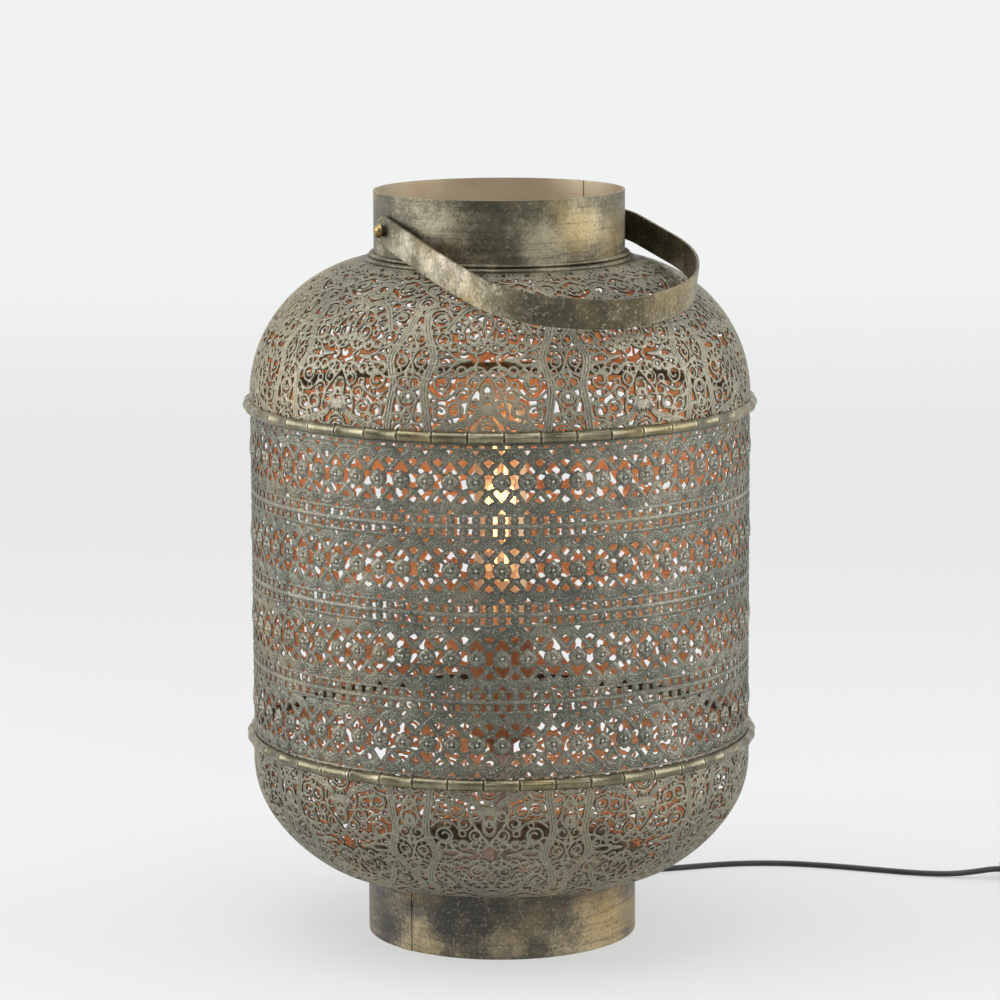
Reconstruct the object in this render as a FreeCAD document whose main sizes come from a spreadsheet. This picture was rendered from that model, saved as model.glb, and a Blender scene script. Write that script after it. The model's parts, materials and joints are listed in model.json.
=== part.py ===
import FreeCAD, Part
import math
import os
import Sketcher
from FreeCAD import Placement, Rotation, Vector

# Lantern table lamp: a pierced sheet-metal lantern body on a plain foot, open at the neck,
# with a strap handle, a tube bulb in a screw holder and a flat mains cord.
# Z is up, the floor is Z = 0, the axis of the lantern is the Z axis and -Y is the front.

DIMENSIONS = {
    # sheet metal
    "sheet": 1.2,
    "thin_sheet": 1.0,
    "sheet_fit": 0.15,
    "running_fit": 0.3,
    "floor_gap": 0.1,
    "cut_spare": 1.0,
    # foot
    "foot_radius": 82.0,
    "foot_height": 44.0,
    "foot_lap_width": 9.0,
    "foot_lap_rise": 0.5,
    "foot_lap_azimuth": -48.0,
    # bowl
    "wall_radius": 150.6,
    "bowl_flange_inner": 77.0,
    "bowl_flange_outer": 84.0,
    "bowl_shoulder_height": 109.4,
    "bowl_upper_bend": 59.2,
    "bowl_upper_sweep": 33.5,
    "bowl_lower_bend": 95.2,
    "bowl_lower_sweep": 26.0,
    "bowl_foot_bend": 20.0,
    "bowl_foot_sweep": 28.5,
    # drum
    "lower_joint_height": 123.5,
    "drum_height": 202.9,
    "flower_rows": 4,
    "flowers_around": 64,
    "flower_row_height": 148.9,
    "flower_row_pitch": 50.95,
    "slot_height": 9.2,
    "slot_width": 3.2,
    "slot_waist": 2.2,
    "slot_peak": 0.6,
    "scroll_repeats": 5,
    # bead bands
    "bead_radius": 3.35,
    "bead_reach": 155.0,
    "bead_segments": 45,
    "bead_notch_depth": 0.9,
    "bead_notch_width": 0.7,
    # dome
    "dome_spring_height": 330.9,
    "dome_bend": 82.8,
    "dome_sweep": 79.2,
    # neck
    "collar_radius": 75.6,
    "collar_top": 454.6,
    "collar_drop": 3.0,
    "collar_lap_width": 9.0,
    "collar_lap_rise": 0.5,
    "collar_lap_azimuth": 46.0,
    "neck_ring_step": 2.9,
    "neck_ring_lower_reach": 5.6,
    "neck_ring_upper_reach": 3.0,
    "neck_ring_height": 5.4,
    # handle
    "pivot_height": 433.6,
    "pivot_azimuth": 29.0,
    "handle_tilt": 14.2,
    "strap_width": 18.0,
    "strap_thickness": 1.6,
    "handle_reach": 156.0,
    "pivot_washer": 1.0,
    "pivot_washer_radius": 5.0,
    "pivot_shank_radius": 2.0,
    "pivot_spacer": 2.7,
    "pivot_spacer_radius": 3.4,
    "pivot_head": 2.9,
    "pivot_head_radius": 4.4,
    "pivot_nut_across": 7.0,
    "pivot_nut_height": 3.2,
    "thread_spare": 1.0,
    "screw_slot_width": 1.0,
    "screw_slot_depth": 0.9,
    # base plate
    "plate_top": 36.6,
    "plate_radius": 74.5,
    "plate_tabs": 4,
    "plate_tab_width": 13.0,
    "plate_tab_drop": 8.0,
    # stem
    "stem_radius": 5.0,
    "stem_bore": 3.6,
    "stem_bottom": 27.0,
    "stem_top": 119.0,
    "stem_nut_across": 14.0,
    "stem_nut_height": 3.5,
    "stem_washer_radius": 10.0,
    "stem_washer": 1.2,
    # lampholder
    "holder_radius": 20.0,
    "holder_wall": 1.8,
    "holder_cap_bottom": 108.0,
    "holder_neck_radius": 7.5,
    "holder_neck_height": 6.0,
    "holder_shoulder_height": 122.0,
    "holder_split": 132.0,
    "holder_rim": 182.0,
    "holder_mouth": 15.0,
    "holder_block_height": 13.0,
    "holder_shell_radius": 14.0,
    "holder_shell_wall": 0.5,
    "holder_shell_height": 25.0,
    "holder_contact_height": 1.6,
    "holder_terminal_radius": 2.0,
    "terminal_height": 4.0,
    "terminal_spread": 7.0,
    "core_radius": 1.0,
    # bulb
    "bulb_seat": 147.8,
    "bulb_length": 184.0,
    "bulb_radius": 16.0,
    "bulb_glass_wall": 0.8,
    "bulb_neck_height": 12.0,
    "bulb_shoulder_height": 8.0,
    "bulb_foot_gap": 2.0,
    "bulb_cap_radius": 13.1,
    "bulb_cap_height": 20.0,
    "bulb_cap_wall": 0.4,
    "bulb_cap_thread": 0.8,
    "bulb_cap_rings": 5,
    "bulb_insulator_height": 5.2,
    "bulb_contact_radius": 4.5,
    "bulb_contact_height": 1.4,
    "bulb_mount_radius": 5.5,
    "bulb_mount_height": 26.0,
    "bulb_mount_flare": 2.0,
    "bulb_wire_radius": 0.4,
    "bulb_wire_rise": 4.0,
    "bulb_filament_radius": 1.1,
    "bulb_filament_bottom": 216.0,
    "bulb_filament_length": 92.0,
    "bulb_filament_offset": 3.85,
    "bulb_filament_azimuth": -31.0,
    # cord
    "cord_width": 5.4,
    "cord_thickness": 3.2,
    "cord_exit_azimuth": 28.0,
    "cord_exit_height": 13.0,
    "relief_length": 22.0,
    "relief_root_radius": 4.9,
    "relief_tip_radius": 3.5,
    "relief_flange_radius": 6.5,
    "relief_flange": 1.8,
    "relief_inner_length": 7.0,
    "lead_turn": 19.0,
    "lead_spare": 5.0,
    # cord coil
    "coil_x": 431.0,
    "coil_middle_radius": 31.0,
    "coil_turns_in": 3,
    "coil_lead": 6.0,
    "coil_spacing": 0.5,
    # cord switch
    "switch_x": 356.0,
    "switch_y": 106.0,
    "switch_length": 60.0,
    "switch_width": 26.0,
    "switch_base_height": 6.0,
    "switch_cover_height": 10.0,
    "switch_wall": 1.6,
    "switch_corner": 8.0,
    "switch_neck_length": 6.0,
    "switch_neck_width": 10.0,
    "switch_neck_height": 3.0,
    "switch_screw_spread": 22.0,
    "switch_screw_radius": 1.4,
    "switch_screw_length": 13.0,
    "switch_post_radius": 3.0,
    "contact_length": 30.0,
    "contact_width": 4.0,
    "contact_height": 0.8,
    "contact_spread": 7.0,
    "rocker_length": 18.0,
    "rocker_width": 9.0,
    "rocker_axle_radius": 1.5,
    "rocker_bearing": 2.5,
    "rocker_rise": 4.6,
    "rocker_depth": 3.0,
    "rocker_dish": 0.8,
    "rocker_tilt": 8.0,
    # plug
    "plug_x": 366.0,
    "plug_y": -50.0,
    "plug_width": 35.3,
    "plug_thickness": 13.7,
    "plug_length": 36.0,
    "plug_rear_width": 14.0,
    "plug_waist": 22.0,
    "plug_pin_radius": 2.0,
    "plug_pin_length": 19.0,
    "plug_pin_round": 0.8,
    "plug_pin_pitch": 18.6,
    "plug_sleeve_length": 24.0,
}

document = FreeCAD.newDocument("LanternTableLamp")
sheet = document.addObject("Spreadsheet::Sheet", "Dims")
for row_number, (alias, amount) in enumerate(DIMENSIONS.items(), start=1):
    sheet.set("A%d" % row_number, alias)
    sheet.set("B%d" % row_number, str(amount))
    sheet.setAlias("B%d" % row_number, alias)
document.recompute()


class Size:
    """A number that also knows the formula by which it follows from the sheet."""

    def __init__(self, number, formula):
        self.number = float(number)
        self.formula = formula

    def __add__(self, other):
        other = as_size(other)
        return Size(self.number + other.number, "(%s + %s)" % (self.formula, other.formula))

    def __radd__(self, other):
        return as_size(other) + self

    def __sub__(self, other):
        other = as_size(other)
        return Size(self.number - other.number, "(%s - %s)" % (self.formula, other.formula))

    def __rsub__(self, other):
        return as_size(other) - self

    def __mul__(self, other):
        other = as_size(other)
        return Size(self.number * other.number, "(%s * %s)" % (self.formula, other.formula))

    def __rmul__(self, other):
        return as_size(other) * self

    def __truediv__(self, other):
        other = as_size(other)
        return Size(self.number / other.number, "(%s / %s)" % (self.formula, other.formula))

    def __neg__(self):
        return Size(-self.number, "(0 - %s)" % self.formula)

    def __float__(self):
        return self.number


def as_size(amount):
    return amount if isinstance(amount, Size) else Size(amount, repr(float(amount)))


def dim(name):
    return Size(sheet.get(name), "Dims." + name)


def cosine(angle):
    return Size(math.cos(math.radians(angle.number)), "cos(%s)" % angle.formula)


def sine(angle):
    return Size(math.sin(math.radians(angle.number)), "sin(%s)" % angle.formula)


def root(amount):
    return Size(math.sqrt(amount.number), "sqrt(%s)" % amount.formula)


def bind(thing, prop, amount):
    amount = as_size(amount)
    setattr(thing, prop, amount.number)
    thing.setExpression(prop, amount.formula)


# Shares of a run that its bends may take, and of a leaf window's half length that is widest
BEND_SHARE = 0.45
LEAF_SHOULDER = 0.45
# How far out the filament's wires leave the glass mount, as a share of the filament's own offset
WIRE_GATHER = 0.6
# Corners of the flat cord's section: across and up
CORNERS = ((1, 1), (-1, 1), (-1, -1), (1, -1))

# Sizes that several pieces share
zero = as_size(0)
wall_radius = dim("wall_radius")
wall_inner = wall_radius - dim("sheet")
foot_inner = dim("foot_radius") - dim("thin_sheet")
collar_inner = dim("collar_radius") - dim("thin_sheet")
upper_joint = dim("lower_joint_height") + dim("drum_height")
dome_centre_radius = wall_radius - dim("dome_bend")
dome_edge_radius = dome_centre_radius + dim("dome_bend") * cosine(dim("dome_sweep"))
dome_edge_height = dim("dome_spring_height") + dim("dome_bend") * sine(dim("dome_sweep"))
neck_hole = dim("collar_radius") + dim("sheet_fit")
washer_start = dim("collar_radius") + dim("sheet_fit")
strap_inner = washer_start + dim("pivot_washer") + dim("running_fit")
strap_middle = strap_inner + dim("strap_thickness") / 2
spacer_start = strap_inner + dim("strap_thickness") + dim("running_fit")
head_start = spacer_start + dim("pivot_spacer")
plate_bottom = dim("plate_top") - dim("sheet")
stem_hole = dim("stem_radius") + dim("running_fit")
pivot_bore = dim("pivot_shank_radius") + dim("running_fit")
nut_start = collar_inner - dim("running_fit") - dim("pivot_nut_height")
holder_inner = dim("holder_radius") - dim("holder_wall")
block_top = dim("bulb_seat") - dim("holder_contact_height")
block_bottom = block_top - dim("holder_block_height")
bulb_top = dim("bulb_seat") + dim("bulb_length")
bulb_cap_bottom = dim("bulb_seat") + dim("bulb_contact_height") + dim("bulb_insulator_height")
bulb_cap_top = bulb_cap_bottom + dim("bulb_cap_height")
bulb_cap_inner = dim("bulb_cap_radius") - dim("bulb_cap_thread") - dim("bulb_cap_wall")
bulb_neck = bulb_cap_inner - dim("sheet_fit")
relief_hole = dim("relief_root_radius") + dim("sheet_fit")
relief_start = (
    foot_inner - dim("running_fit") - dim("relief_flange") - dim("relief_inner_length")
)
relief_end = dim("foot_radius") + dim("relief_length")
switch_start = dim("switch_x") - dim("switch_length") / 2 - dim("switch_neck_length")
switch_end = dim("switch_x") + dim("switch_length") / 2 + dim("switch_neck_length")
switch_bore = dim("switch_screw_radius") + dim("sheet_fit")
cover_top = dim("switch_base_height") + dim("switch_cover_height")
rocker_axis = (
    cover_top - dim("switch_wall") - dim("rocker_axle_radius") - dim("running_fit") * 2
)
rocker_window_x = (
    dim("rocker_length") / 2 * cosine(dim("rocker_tilt"))
    + dim("rocker_rise") * sine(dim("rocker_tilt"))
    + dim("running_fit")
)
rocker_window_y = dim("rocker_width") / 2 + dim("running_fit")
rocker_axle = rocker_window_y + dim("rocker_bearing") - dim("running_fit") * 2
plug_rear = dim("plug_y") - dim("plug_sleeve_length")
plug_axis = dim("floor_gap") + dim("plug_thickness") / 2
floor_line = dim("floor_gap") + dim("cord_thickness") / 2


# ---------------------------------------------------------------- ways of making pieces


def plane_of(body, role):
    return [feature for feature in body.Origin.OriginFeatures if feature.Role == role][0]


def new_body(name):
    body = document.addObject("PartDesign::Body", name)
    body.Label = name
    return body


def sketch_on(body, role, name, lift=None):
    sketch = body.newObject("Sketcher::SketchObject", name)
    sketch.AttachmentSupport = [(plane_of(body, role), "")]
    sketch.MapMode = "FlatFace"
    if lift is not None:
        sketch.AttachmentOffset = Placement(Vector(0, 0, lift.number), Rotation())
        sketch.setExpression("AttachmentOffset.Base.z", lift.formula)
    return sketch


def fix_point(sketch, geometry, end, x, y):
    for word, amount, axis in (("DistanceX", x, -2), ("DistanceY", y, -1)):
        amount = as_size(amount)
        if abs(amount.number) < 1e-9 and amount.formula == zero.formula:
            sketch.addConstraint(Sketcher.Constraint("PointOnObject", geometry, end, axis))
            continue
        number = sketch.addConstraint(
            Sketcher.Constraint(word, -1, 1, geometry, end, amount.number)
        )
        sketch.setExpression("Constraints[%d]" % number, amount.formula)


def outline(sketch, corners, arcs=None):
    """A closed outline through corners; arcs gives (radius, left) for the side after a corner."""
    arcs = arcs or {}
    sides = []
    for i, (x, y) in enumerate(corners):
        start = Vector(as_size(x).number, as_size(y).number, 0)
        after = corners[(i + 1) % len(corners)]
        finish = Vector(as_size(after[0]).number, as_size(after[1]).number, 0)
        if i not in arcs:
            sides.append((sketch.addGeometry(Part.LineSegment(start, finish), False), 1, 2))
            continue
        radius, left = arcs[i]
        middle = (start + finish) * 0.5
        chord = finish - start
        across = Vector(-chord.y, chord.x, 0).normalize()
        rise = math.sqrt(max(radius.number**2 - (chord.Length / 2) ** 2, 0))
        centre = middle + across * (rise if left else -rise)
        circle = Part.Circle(centre, Vector(0, 0, 1), radius.number)
        first, last = (start, finish) if left else (finish, start)
        begin = math.atan2(first.y - centre.y, first.x - centre.x)
        end = math.atan2(last.y - centre.y, last.x - centre.x)
        if end <= begin:
            end += 2 * math.pi
        number = sketch.addGeometry(Part.ArcOfCircle(circle, begin, end), False)
        sides.append((number, 1, 2) if left else (number, 2, 1))
        constraint = sketch.addConstraint(Sketcher.Constraint("Radius", number, radius.number))
        sketch.setExpression("Constraints[%d]" % constraint, radius.formula)
    for i, (number, _, end) in enumerate(sides):
        after, begin, _ = sides[(i + 1) % len(sides)]
        sketch.addConstraint(Sketcher.Constraint("Coincident", number, end, after, begin))
    for (number, begin, _), (x, y) in zip(sides, corners):
        fix_point(sketch, number, begin, x, y)


def ring_outline(sketch, x, y, radius):
    number = sketch.addGeometry(
        Part.Circle(Vector(float(x), float(y), 0), Vector(0, 0, 1), radius.number), False
    )
    constraint = sketch.addConstraint(Sketcher.Constraint("Radius", number, radius.number))
    sketch.setExpression("Constraints[%d]" % constraint, radius.formula)
    fix_point(sketch, number, 3, x, y)


def revolve(body, name, corners, arcs=None, angle=360.0, kind="Revolution"):
    sketch = sketch_on(body, "XZ_Plane", name + "_profile")
    outline(sketch, corners, arcs)
    turned = body.newObject("PartDesign::" + kind, name)
    turned.Profile = sketch
    turned.ReferenceAxis = (sketch, ["V_Axis"])
    bind(turned, "Angle", angle)
    sketch.Visibility = False
    return turned


def turned_body(name, corners, arcs=None):
    body = new_body(name)
    revolve(body, name + "_turned", corners, arcs)
    return body


def pad(body, sketch, name, length, both_ways=False, kind="Pad", backwards=False):
    feature = body.newObject("PartDesign::" + kind, name)
    feature.Profile = sketch
    bind(feature, "Length", length)
    if both_ways:
        feature.SideType = "Symmetric"
    feature.Reversed = backwards
    return feature


def around(body, features, name, copies, axis="Z_Axis"):
    pattern = body.newObject("PartDesign::PolarPattern", name)
    pattern.Originals = features
    pattern.Axis = (plane_of(body, axis), [""])
    pattern.Angle = 360.0
    pattern.Occurrences = int(copies.number)
    pattern.setExpression("Occurrences", copies.formula)
    body.Tip = pattern
    return pattern


def cylinder(name, radius, height, place=None, lift=None):
    thing = document.addObject("Part::Cylinder", name)
    bind(thing, "Radius", radius)
    bind(thing, "Height", height)
    if place is not None:
        thing.Placement = place
    if lift is not None:
        bind_base(thing, "z", lift)
    return thing


def bind_base(thing, axis, amount):
    base = thing.Placement.Base
    setattr(base, axis, amount.number)
    thing.Placement = Placement(base, thing.Placement.Rotation)
    thing.setExpression("Placement.Base." + axis, amount.formula)


def cut(name, base, tool):
    result = document.addObject("Part::Cut", name)
    result.Base = base
    result.Tool = tool
    return result


def fuse(name, *parts):
    result = document.addObject("Part::MultiFuse", name)
    result.Shapes = list(parts)
    return result


def group(name, *parts):
    """Identical pieces that share one node."""
    result = document.addObject("Part::Compound", name)
    result.Label = name
    result.Links = list(parts)
    return result


def tube(name, outer, bore, height, lift, place=None):
    solid = cylinder(name + "_blank", outer, height, place, lift)
    hole = cylinder(name + "_bore", bore, height, place, lift)
    return cut(name, solid, hole)


def hex_nut(name, across, bore, height, lift):
    blank = document.addObject("Part::Prism", name + "_blank")
    blank.Polygon = 6
    bind(blank, "Circumradius", across / math.sqrt(3))
    bind(blank, "Height", height)
    bind_base(blank, "z", lift)
    return cut(name, blank, cylinder(name + "_bore", bore, height, None, lift))


# ---------------------------------------------------------------- lantern body


def swung(sketch, angle):
    """Swing an upright sketch about Z, counter-clockwise from above."""
    angle = as_size(angle)
    sketch.AttachmentOffset = Placement(Vector(), Rotation(Vector(0, 1, 0), angle.number))
    sketch.setExpression("AttachmentOffset.Rotation.Angle", angle.formula)
    return sketch


def lap_profile(inner, outer, bottom, top):
    return [(inner, bottom), (outer, bottom), (outer, top), (inner, top)]


def make_foot_ring():
    radius = dim("foot_radius")
    body = turned_body("foot_ring", lap_profile(foot_inner, radius, zero, dim("foot_height")))
    # the free end of the rolled strip laps over the other one
    middle = radius - dim("thin_sheet") / 2
    outer = radius + dim("foot_lap_rise")
    lap = revolve(
        body,
        "foot_lap",
        lap_profile(middle, outer, zero, dim("foot_height")),
        angle=dim("foot_lap_width") / radius * (180 / math.pi),
    )
    swung(lap.Profile[0], dim("foot_lap_azimuth") - 90)  # azimuths count from the front, -Y
    hole = swung(sketch_on(body, "XZ_Plane", "cord_hole_outline"), -dim("cord_exit_azimuth"))
    ring_outline(hole, zero, dim("cord_exit_height"), relief_hole)
    pad(body, hole, "cord_hole", radius * 2, kind="Pocket")
    return body


def make_base_plate():
    body = turned_body(
        "base_plate",
        lap_profile(stem_hole, dim("plate_radius"), plate_bottom, dim("plate_top")),
    )
    # tabs bent down against the wall of the foot
    outer = foot_inner - dim("sheet_fit")
    inner = outer - dim("sheet")
    foot = plate_bottom - dim("plate_tab_drop")
    tab = revolve(
        body,
        "plate_tab",
        [
            (dim("plate_radius") - dim("sheet"), plate_bottom),
            (inner, plate_bottom),
            (inner, foot),
            (outer, foot),
            (outer, dim("plate_top")),
            (dim("plate_radius") - dim("sheet"), dim("plate_top")),
        ],
        angle=dim("plate_tab_width") / outer * (180 / math.pi),
    )
    around(body, [tab], "plate_tabs_all", dim("plate_tabs"))
    return body


def bowl_side(depth):
    """The bowl's curved side at a depth inside its outer face, from the shoulder down."""
    upper, lower, foot = dim("bowl_upper_bend"), dim("bowl_lower_bend"), dim("bowl_foot_bend")
    first = dim("bowl_upper_sweep")
    second = first + dim("bowl_lower_sweep")
    third = second + dim("bowl_foot_sweep")
    upper_x = wall_radius - upper
    lower_x = upper_x + (upper - lower) * cosine(first)
    foot_x = lower_x + (lower - foot) * cosine(second)
    upper_z = dim("bowl_shoulder_height")
    lower_z = upper_z - (upper - lower) * sine(first)
    foot_z = lower_z - (lower - foot) * sine(second)
    upper, lower, foot = upper - depth, lower - depth, foot - depth
    points = [
        (upper_x + upper, upper_z),
        (lower_x + lower * cosine(first), lower_z - lower * sine(first)),
        (foot_x + foot * cosine(second), foot_z - foot * sine(second)),
        (foot_x + foot * cosine(third), foot_z - foot * sine(third)),
    ]
    return points, (upper, lower, foot)


def make_bowl_blank():
    outer, outer_bends = bowl_side(zero)
    inner, inner_bends = bowl_side(dim("sheet"))
    flange_top = dim("foot_height") + dim("sheet")
    corners = [
        (dim("bowl_flange_inner"), dim("foot_height")),
        (dim("bowl_flange_outer"), dim("foot_height")),
        outer[3],
        outer[2],
        outer[1],
        outer[0],
        (wall_radius, dim("lower_joint_height")),
        (wall_inner, dim("lower_joint_height")),
        inner[0],
        inner[1],
        inner[2],
        inner[3],
        (dim("bowl_flange_outer"), flange_top),
        (dim("bowl_flange_inner"), flange_top),
    ]
    arcs = {
        2: (outer_bends[2], True),
        3: (outer_bends[1], True),
        4: (outer_bends[0], True),
        8: (inner_bends[0], False),
        9: (inner_bends[1], False),
        10: (inner_bends[2], False),
    }
    return turned_body("bowl_blank", corners, arcs)


def make_dome_blank():
    spring = dim("dome_spring_height")
    inner_bend = dim("dome_bend") - dim("sheet")
    inner_edge = (
        dome_centre_radius + inner_bend * cosine(dim("dome_sweep")),
        spring + inner_bend * sine(dim("dome_sweep")),
    )
    corners = [
        (wall_inner, upper_joint),
        (wall_radius, upper_joint),
        (wall_radius, spring),
        (dome_edge_radius, dome_edge_height),
        (neck_hole, dome_edge_height),
        (neck_hole, dome_edge_height - dim("sheet")),
        inner_edge,
        (wall_inner, spring),
    ]
    arcs = {2: (dim("dome_bend"), True), 6: (inner_bend, False)}
    return turned_body("dome_blank", corners, arcs)


def ring_of(name, shape, copies, first=0.0):
    """Copies of a shape set evenly round the Z axis."""
    ring = document.addObject("Part::Feature", name)
    turned = []
    for number in range(int(copies)):
        copy = shape.copy()
        copy.rotate(Vector(), Vector(0, 0, 1), first + 360.0 / copies * number)
        turned.append(copy)
    ring.Shape = Part.makeCompound(turned)
    return ring


def upright_prism(points, start, length):
    """A prism along -Y whose outline in X and Z is given, starting at Y = -start."""
    wire = Part.makePolygon([Vector(x, -start, z) for x, z in points + points[:1]])
    return Part.Face(wire).extrude(Vector(0, -length, 0))


def level_prism(points, bottom, height):
    wire = Part.makePolygon([Vector(x, y, bottom) for x, y in points + points[:1]])
    return Part.Face(wire).extrude(Vector(0, 0, height))


def make_drum():
    """The pierced cylinder: one spool-shaped slot between each two flowers of a row."""
    blank = tube("drum_blank", wall_radius, wall_inner, dim("drum_height"), dim("lower_joint_height"))
    half, waist = dim("slot_width").number / 2, dim("slot_waist").number / 2
    rise, peak = dim("slot_height").number / 2, dim("slot_peak").number
    start = (wall_inner - dim("cut_spare")).number
    depth = (dim("sheet") + dim("cut_spare") * 2).number
    column = []
    for row in range(int(dim("flower_rows").number)):
        z = dim("flower_row_height").number + row * dim("flower_row_pitch").number
        right = [(half, z - rise + peak), (waist, z), (half, z + rise - peak)]
        left = [(-x, y) for x, y in reversed(right)]
        points = [(0, z - rise)] + right + [(0, z + rise)] + left
        column.append(upright_prism(points, start, depth))
    flowers = dim("flowers_around").number
    slots = ring_of("drum_slots", Part.makeCompound(column), flowers)
    return cut("drum", blank, slots)


def window(radius, angle, long, wide, lean):
    """A leaf-shaped window seen from above: long along its own lean from the radius."""
    a, b = math.radians(angle), math.radians(angle + lean)
    centre = Vector(radius * math.cos(a), radius * math.sin(a), 0)
    along = Vector(math.cos(b), math.sin(b), 0)
    across = Vector(-along.y, along.x, 0)
    corners = []
    inner, outer = -LEAF_SHOULDER, LEAF_SHOULDER
    for far, side in ((1, 0), (outer, 1), (inner, 1), (-1, 0), (inner, -1), (outer, -1)):
        point = centre + along * (far * long / 2) + across * (side * wide / 2)
        corners.append((point.x, point.y))
    return corners


def pierced(name, blank, windows, bottom, height):
    """A turned shell with a fifth of its windows repeated five times and mirrored."""
    shapes = []
    for radius, angle, long, wide, lean in windows:
        sides = ((angle, lean),) if angle == 0 else ((angle, lean), (-angle, -lean))
        for turned, leant in sides:
            shapes.append(level_prism(window(radius, turned, long, wide, leant), bottom, height))
    repeats = dim("scroll_repeats").number
    tools = ring_of(name + "_windows", Part.makeCompound(shapes), repeats, -90.0)
    return cut(name, blank, tools)


# windows of the scrollwork: radius, angle from the motif's middle, length, width and lean
DOME_WINDOWS = [
    (94.0, 0.0, 9.0, 4.5, 0.0),
    (104.0, 8.0, 8.0, 4.0, 50.0),
    (112.0, 0.0, 8.0, 4.5, 90.0),
    (121.0, 7.0, 9.0, 4.0, -35.0),
    (130.0, 0.0, 7.0, 4.5, 0.0),
    (98.0, 17.0, 9.0, 4.0, 20.0),
    (112.0, 18.0, 9.0, 4.0, -20.0),
    (126.0, 17.0, 8.0, 4.0, 40.0),
    (95.0, 29.0, 9.0, 4.0, -30.0),
    (107.0, 30.0, 8.0, 4.0, 30.0),
    (119.0, 29.0, 8.0, 4.0, -40.0),
    (132.0, 30.0, 6.0, 4.0, 10.0),
]
BOWL_WINDOWS = [
    (105.0, 0.0, 8.0, 4.5, 0.0),
    (114.0, 9.0, 8.0, 4.0, 45.0),
    (122.0, 0.0, 8.0, 4.5, 90.0),
    (131.0, 7.0, 8.0, 4.0, -35.0),
    (108.0, 20.0, 9.0, 4.0, 20.0),
    (121.0, 19.0, 8.0, 4.0, -25.0),
    (133.0, 20.0, 7.0, 4.0, 30.0),
    (106.0, 31.0, 8.0, 4.0, -30.0),
    (118.0, 31.0, 8.0, 4.0, 35.0),
    (131.0, 31.0, 7.0, 4.0, -20.0),
]


def make_bowl():
    blank = make_bowl_blank()
    return pierced("bowl", blank, BOWL_WINDOWS, 0, dim("lower_joint_height").number)


def make_dome():
    blank = make_dome_blank()
    return pierced("dome", blank, DOME_WINDOWS, upper_joint.number, dim("dome_bend").number)


def make_bead_band(name, height):
    """A half-round bead over the joint, notched into segments like a bamboo cane."""
    middle = dim("bead_reach") - dim("bead_radius")
    back = wall_radius + dim("sheet_fit")
    half = root(dim("bead_radius") * dim("bead_radius") - (middle - back) * (middle - back))
    corners = [(back, height - half), (dim("bead_reach"), height), (back, height + half)]
    arcs = {0: (dim("bead_radius"), True), 1: (dim("bead_radius"), True)}
    blank = turned_body(name + "_blank", corners, arcs)
    size = dim("bead_radius").number
    wide = dim("bead_notch_width").number
    start = dim("bead_reach").number - dim("bead_notch_depth").number
    notch = Part.makeBox(size, wide, size * 3, Vector(start, -wide / 2, height.number - size * 1.5))
    notches = ring_of(name + "_notches", notch, dim("bead_segments").number)
    return cut(name, blank, notches)


def make_neck_ring():
    lower = dim("neck_ring_step") / 2
    upper = (dim("neck_ring_height") - dim("neck_ring_step")) / 2
    lower_x = dim("collar_radius") + dim("neck_ring_lower_reach") - lower
    upper_x = dim("collar_radius") + dim("neck_ring_upper_reach") - upper
    middle = dome_edge_height + dim("neck_ring_step")
    top = dome_edge_height + dim("neck_ring_height")
    corners = [
        (neck_hole, dome_edge_height),
        (lower_x, dome_edge_height),
        (lower_x + lower, dome_edge_height + lower),
        (lower_x, middle),
        (upper_x, middle),
        (upper_x + upper, middle + upper),
        (upper_x, top),
        (neck_hole, top),
    ]
    arcs = {1: (lower, True), 2: (lower, True), 4: (upper, True), 5: (upper, True)}
    return turned_body("neck_ring", corners, arcs)


def make_collar():
    bottom = dome_edge_height - dim("collar_drop")
    top = dim("collar_top")
    body = turned_body("collar", lap_profile(collar_inner, dim("collar_radius"), bottom, top))
    # the rolled strip's inner end lies under the outer one
    inner = collar_inner - dim("collar_lap_rise")
    middle = collar_inner + dim("thin_sheet") / 2
    lap = revolve(
        body,
        "collar_lap",
        lap_profile(inner, middle, bottom, top),
        angle=dim("collar_lap_width") / collar_inner * (180 / math.pi),
    )
    swung(lap.Profile[0], dim("collar_lap_azimuth"))
    hole = swung(sketch_on(body, "YZ_Plane", "pivot_hole_outline"), dim("pivot_azimuth"))
    ring_outline(hole, zero, dim("pivot_height"), pivot_bore)
    pad(body, hole, "pivot_holes", dim("collar_radius") * 3, both_ways=True, kind="Pocket")
    return body


# ---------------------------------------------------------------- handle and its pivots


def out_of_collar(thing, side):
    """Stand a piece made along +Z on the pivot axis, on side 0 or 1."""
    azimuth = dim("pivot_azimuth") + 180 * side
    level = Rotation(Vector(0, 1, 0), 90)
    turn = Rotation(Vector(0, 0, 1), azimuth.number)
    thing.Placement = Placement(Vector(0, 0, dim("pivot_height").number), turn * level)
    thing.setExpression("Placement.Base.z", dim("pivot_height").formula)
    return thing


def on_both_sides(name, make):
    return group(name, *[out_of_collar(make("%s_%d" % (name, side + 1)), side) for side in (0, 1)])


def make_pivot_screw(name):
    shank = dim("pivot_shank_radius")
    head = dim("pivot_head_radius")
    rise = dim("pivot_head")
    dome = (head * head + rise * rise) / (2 * rise)
    end = nut_start - dim("thread_spare")
    corners = [(zero, end), (shank, end), (shank, head_start), (head, head_start)]
    corners.append((zero, head_start + rise))
    body = turned_body(name, corners, {3: (dome, True)})
    slot = sketch_on(body, "XZ_Plane", name + "_slot_outline")
    half = dim("screw_slot_width") / 2
    depth = head_start + rise - dim("screw_slot_depth")
    outline(slot, [(-half, depth), (half, depth), (half, head_start * 2), (-half, head_start * 2)])
    pad(body, slot, name + "_slot", head * 3, both_ways=True, kind="Pocket")
    return body


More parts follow.
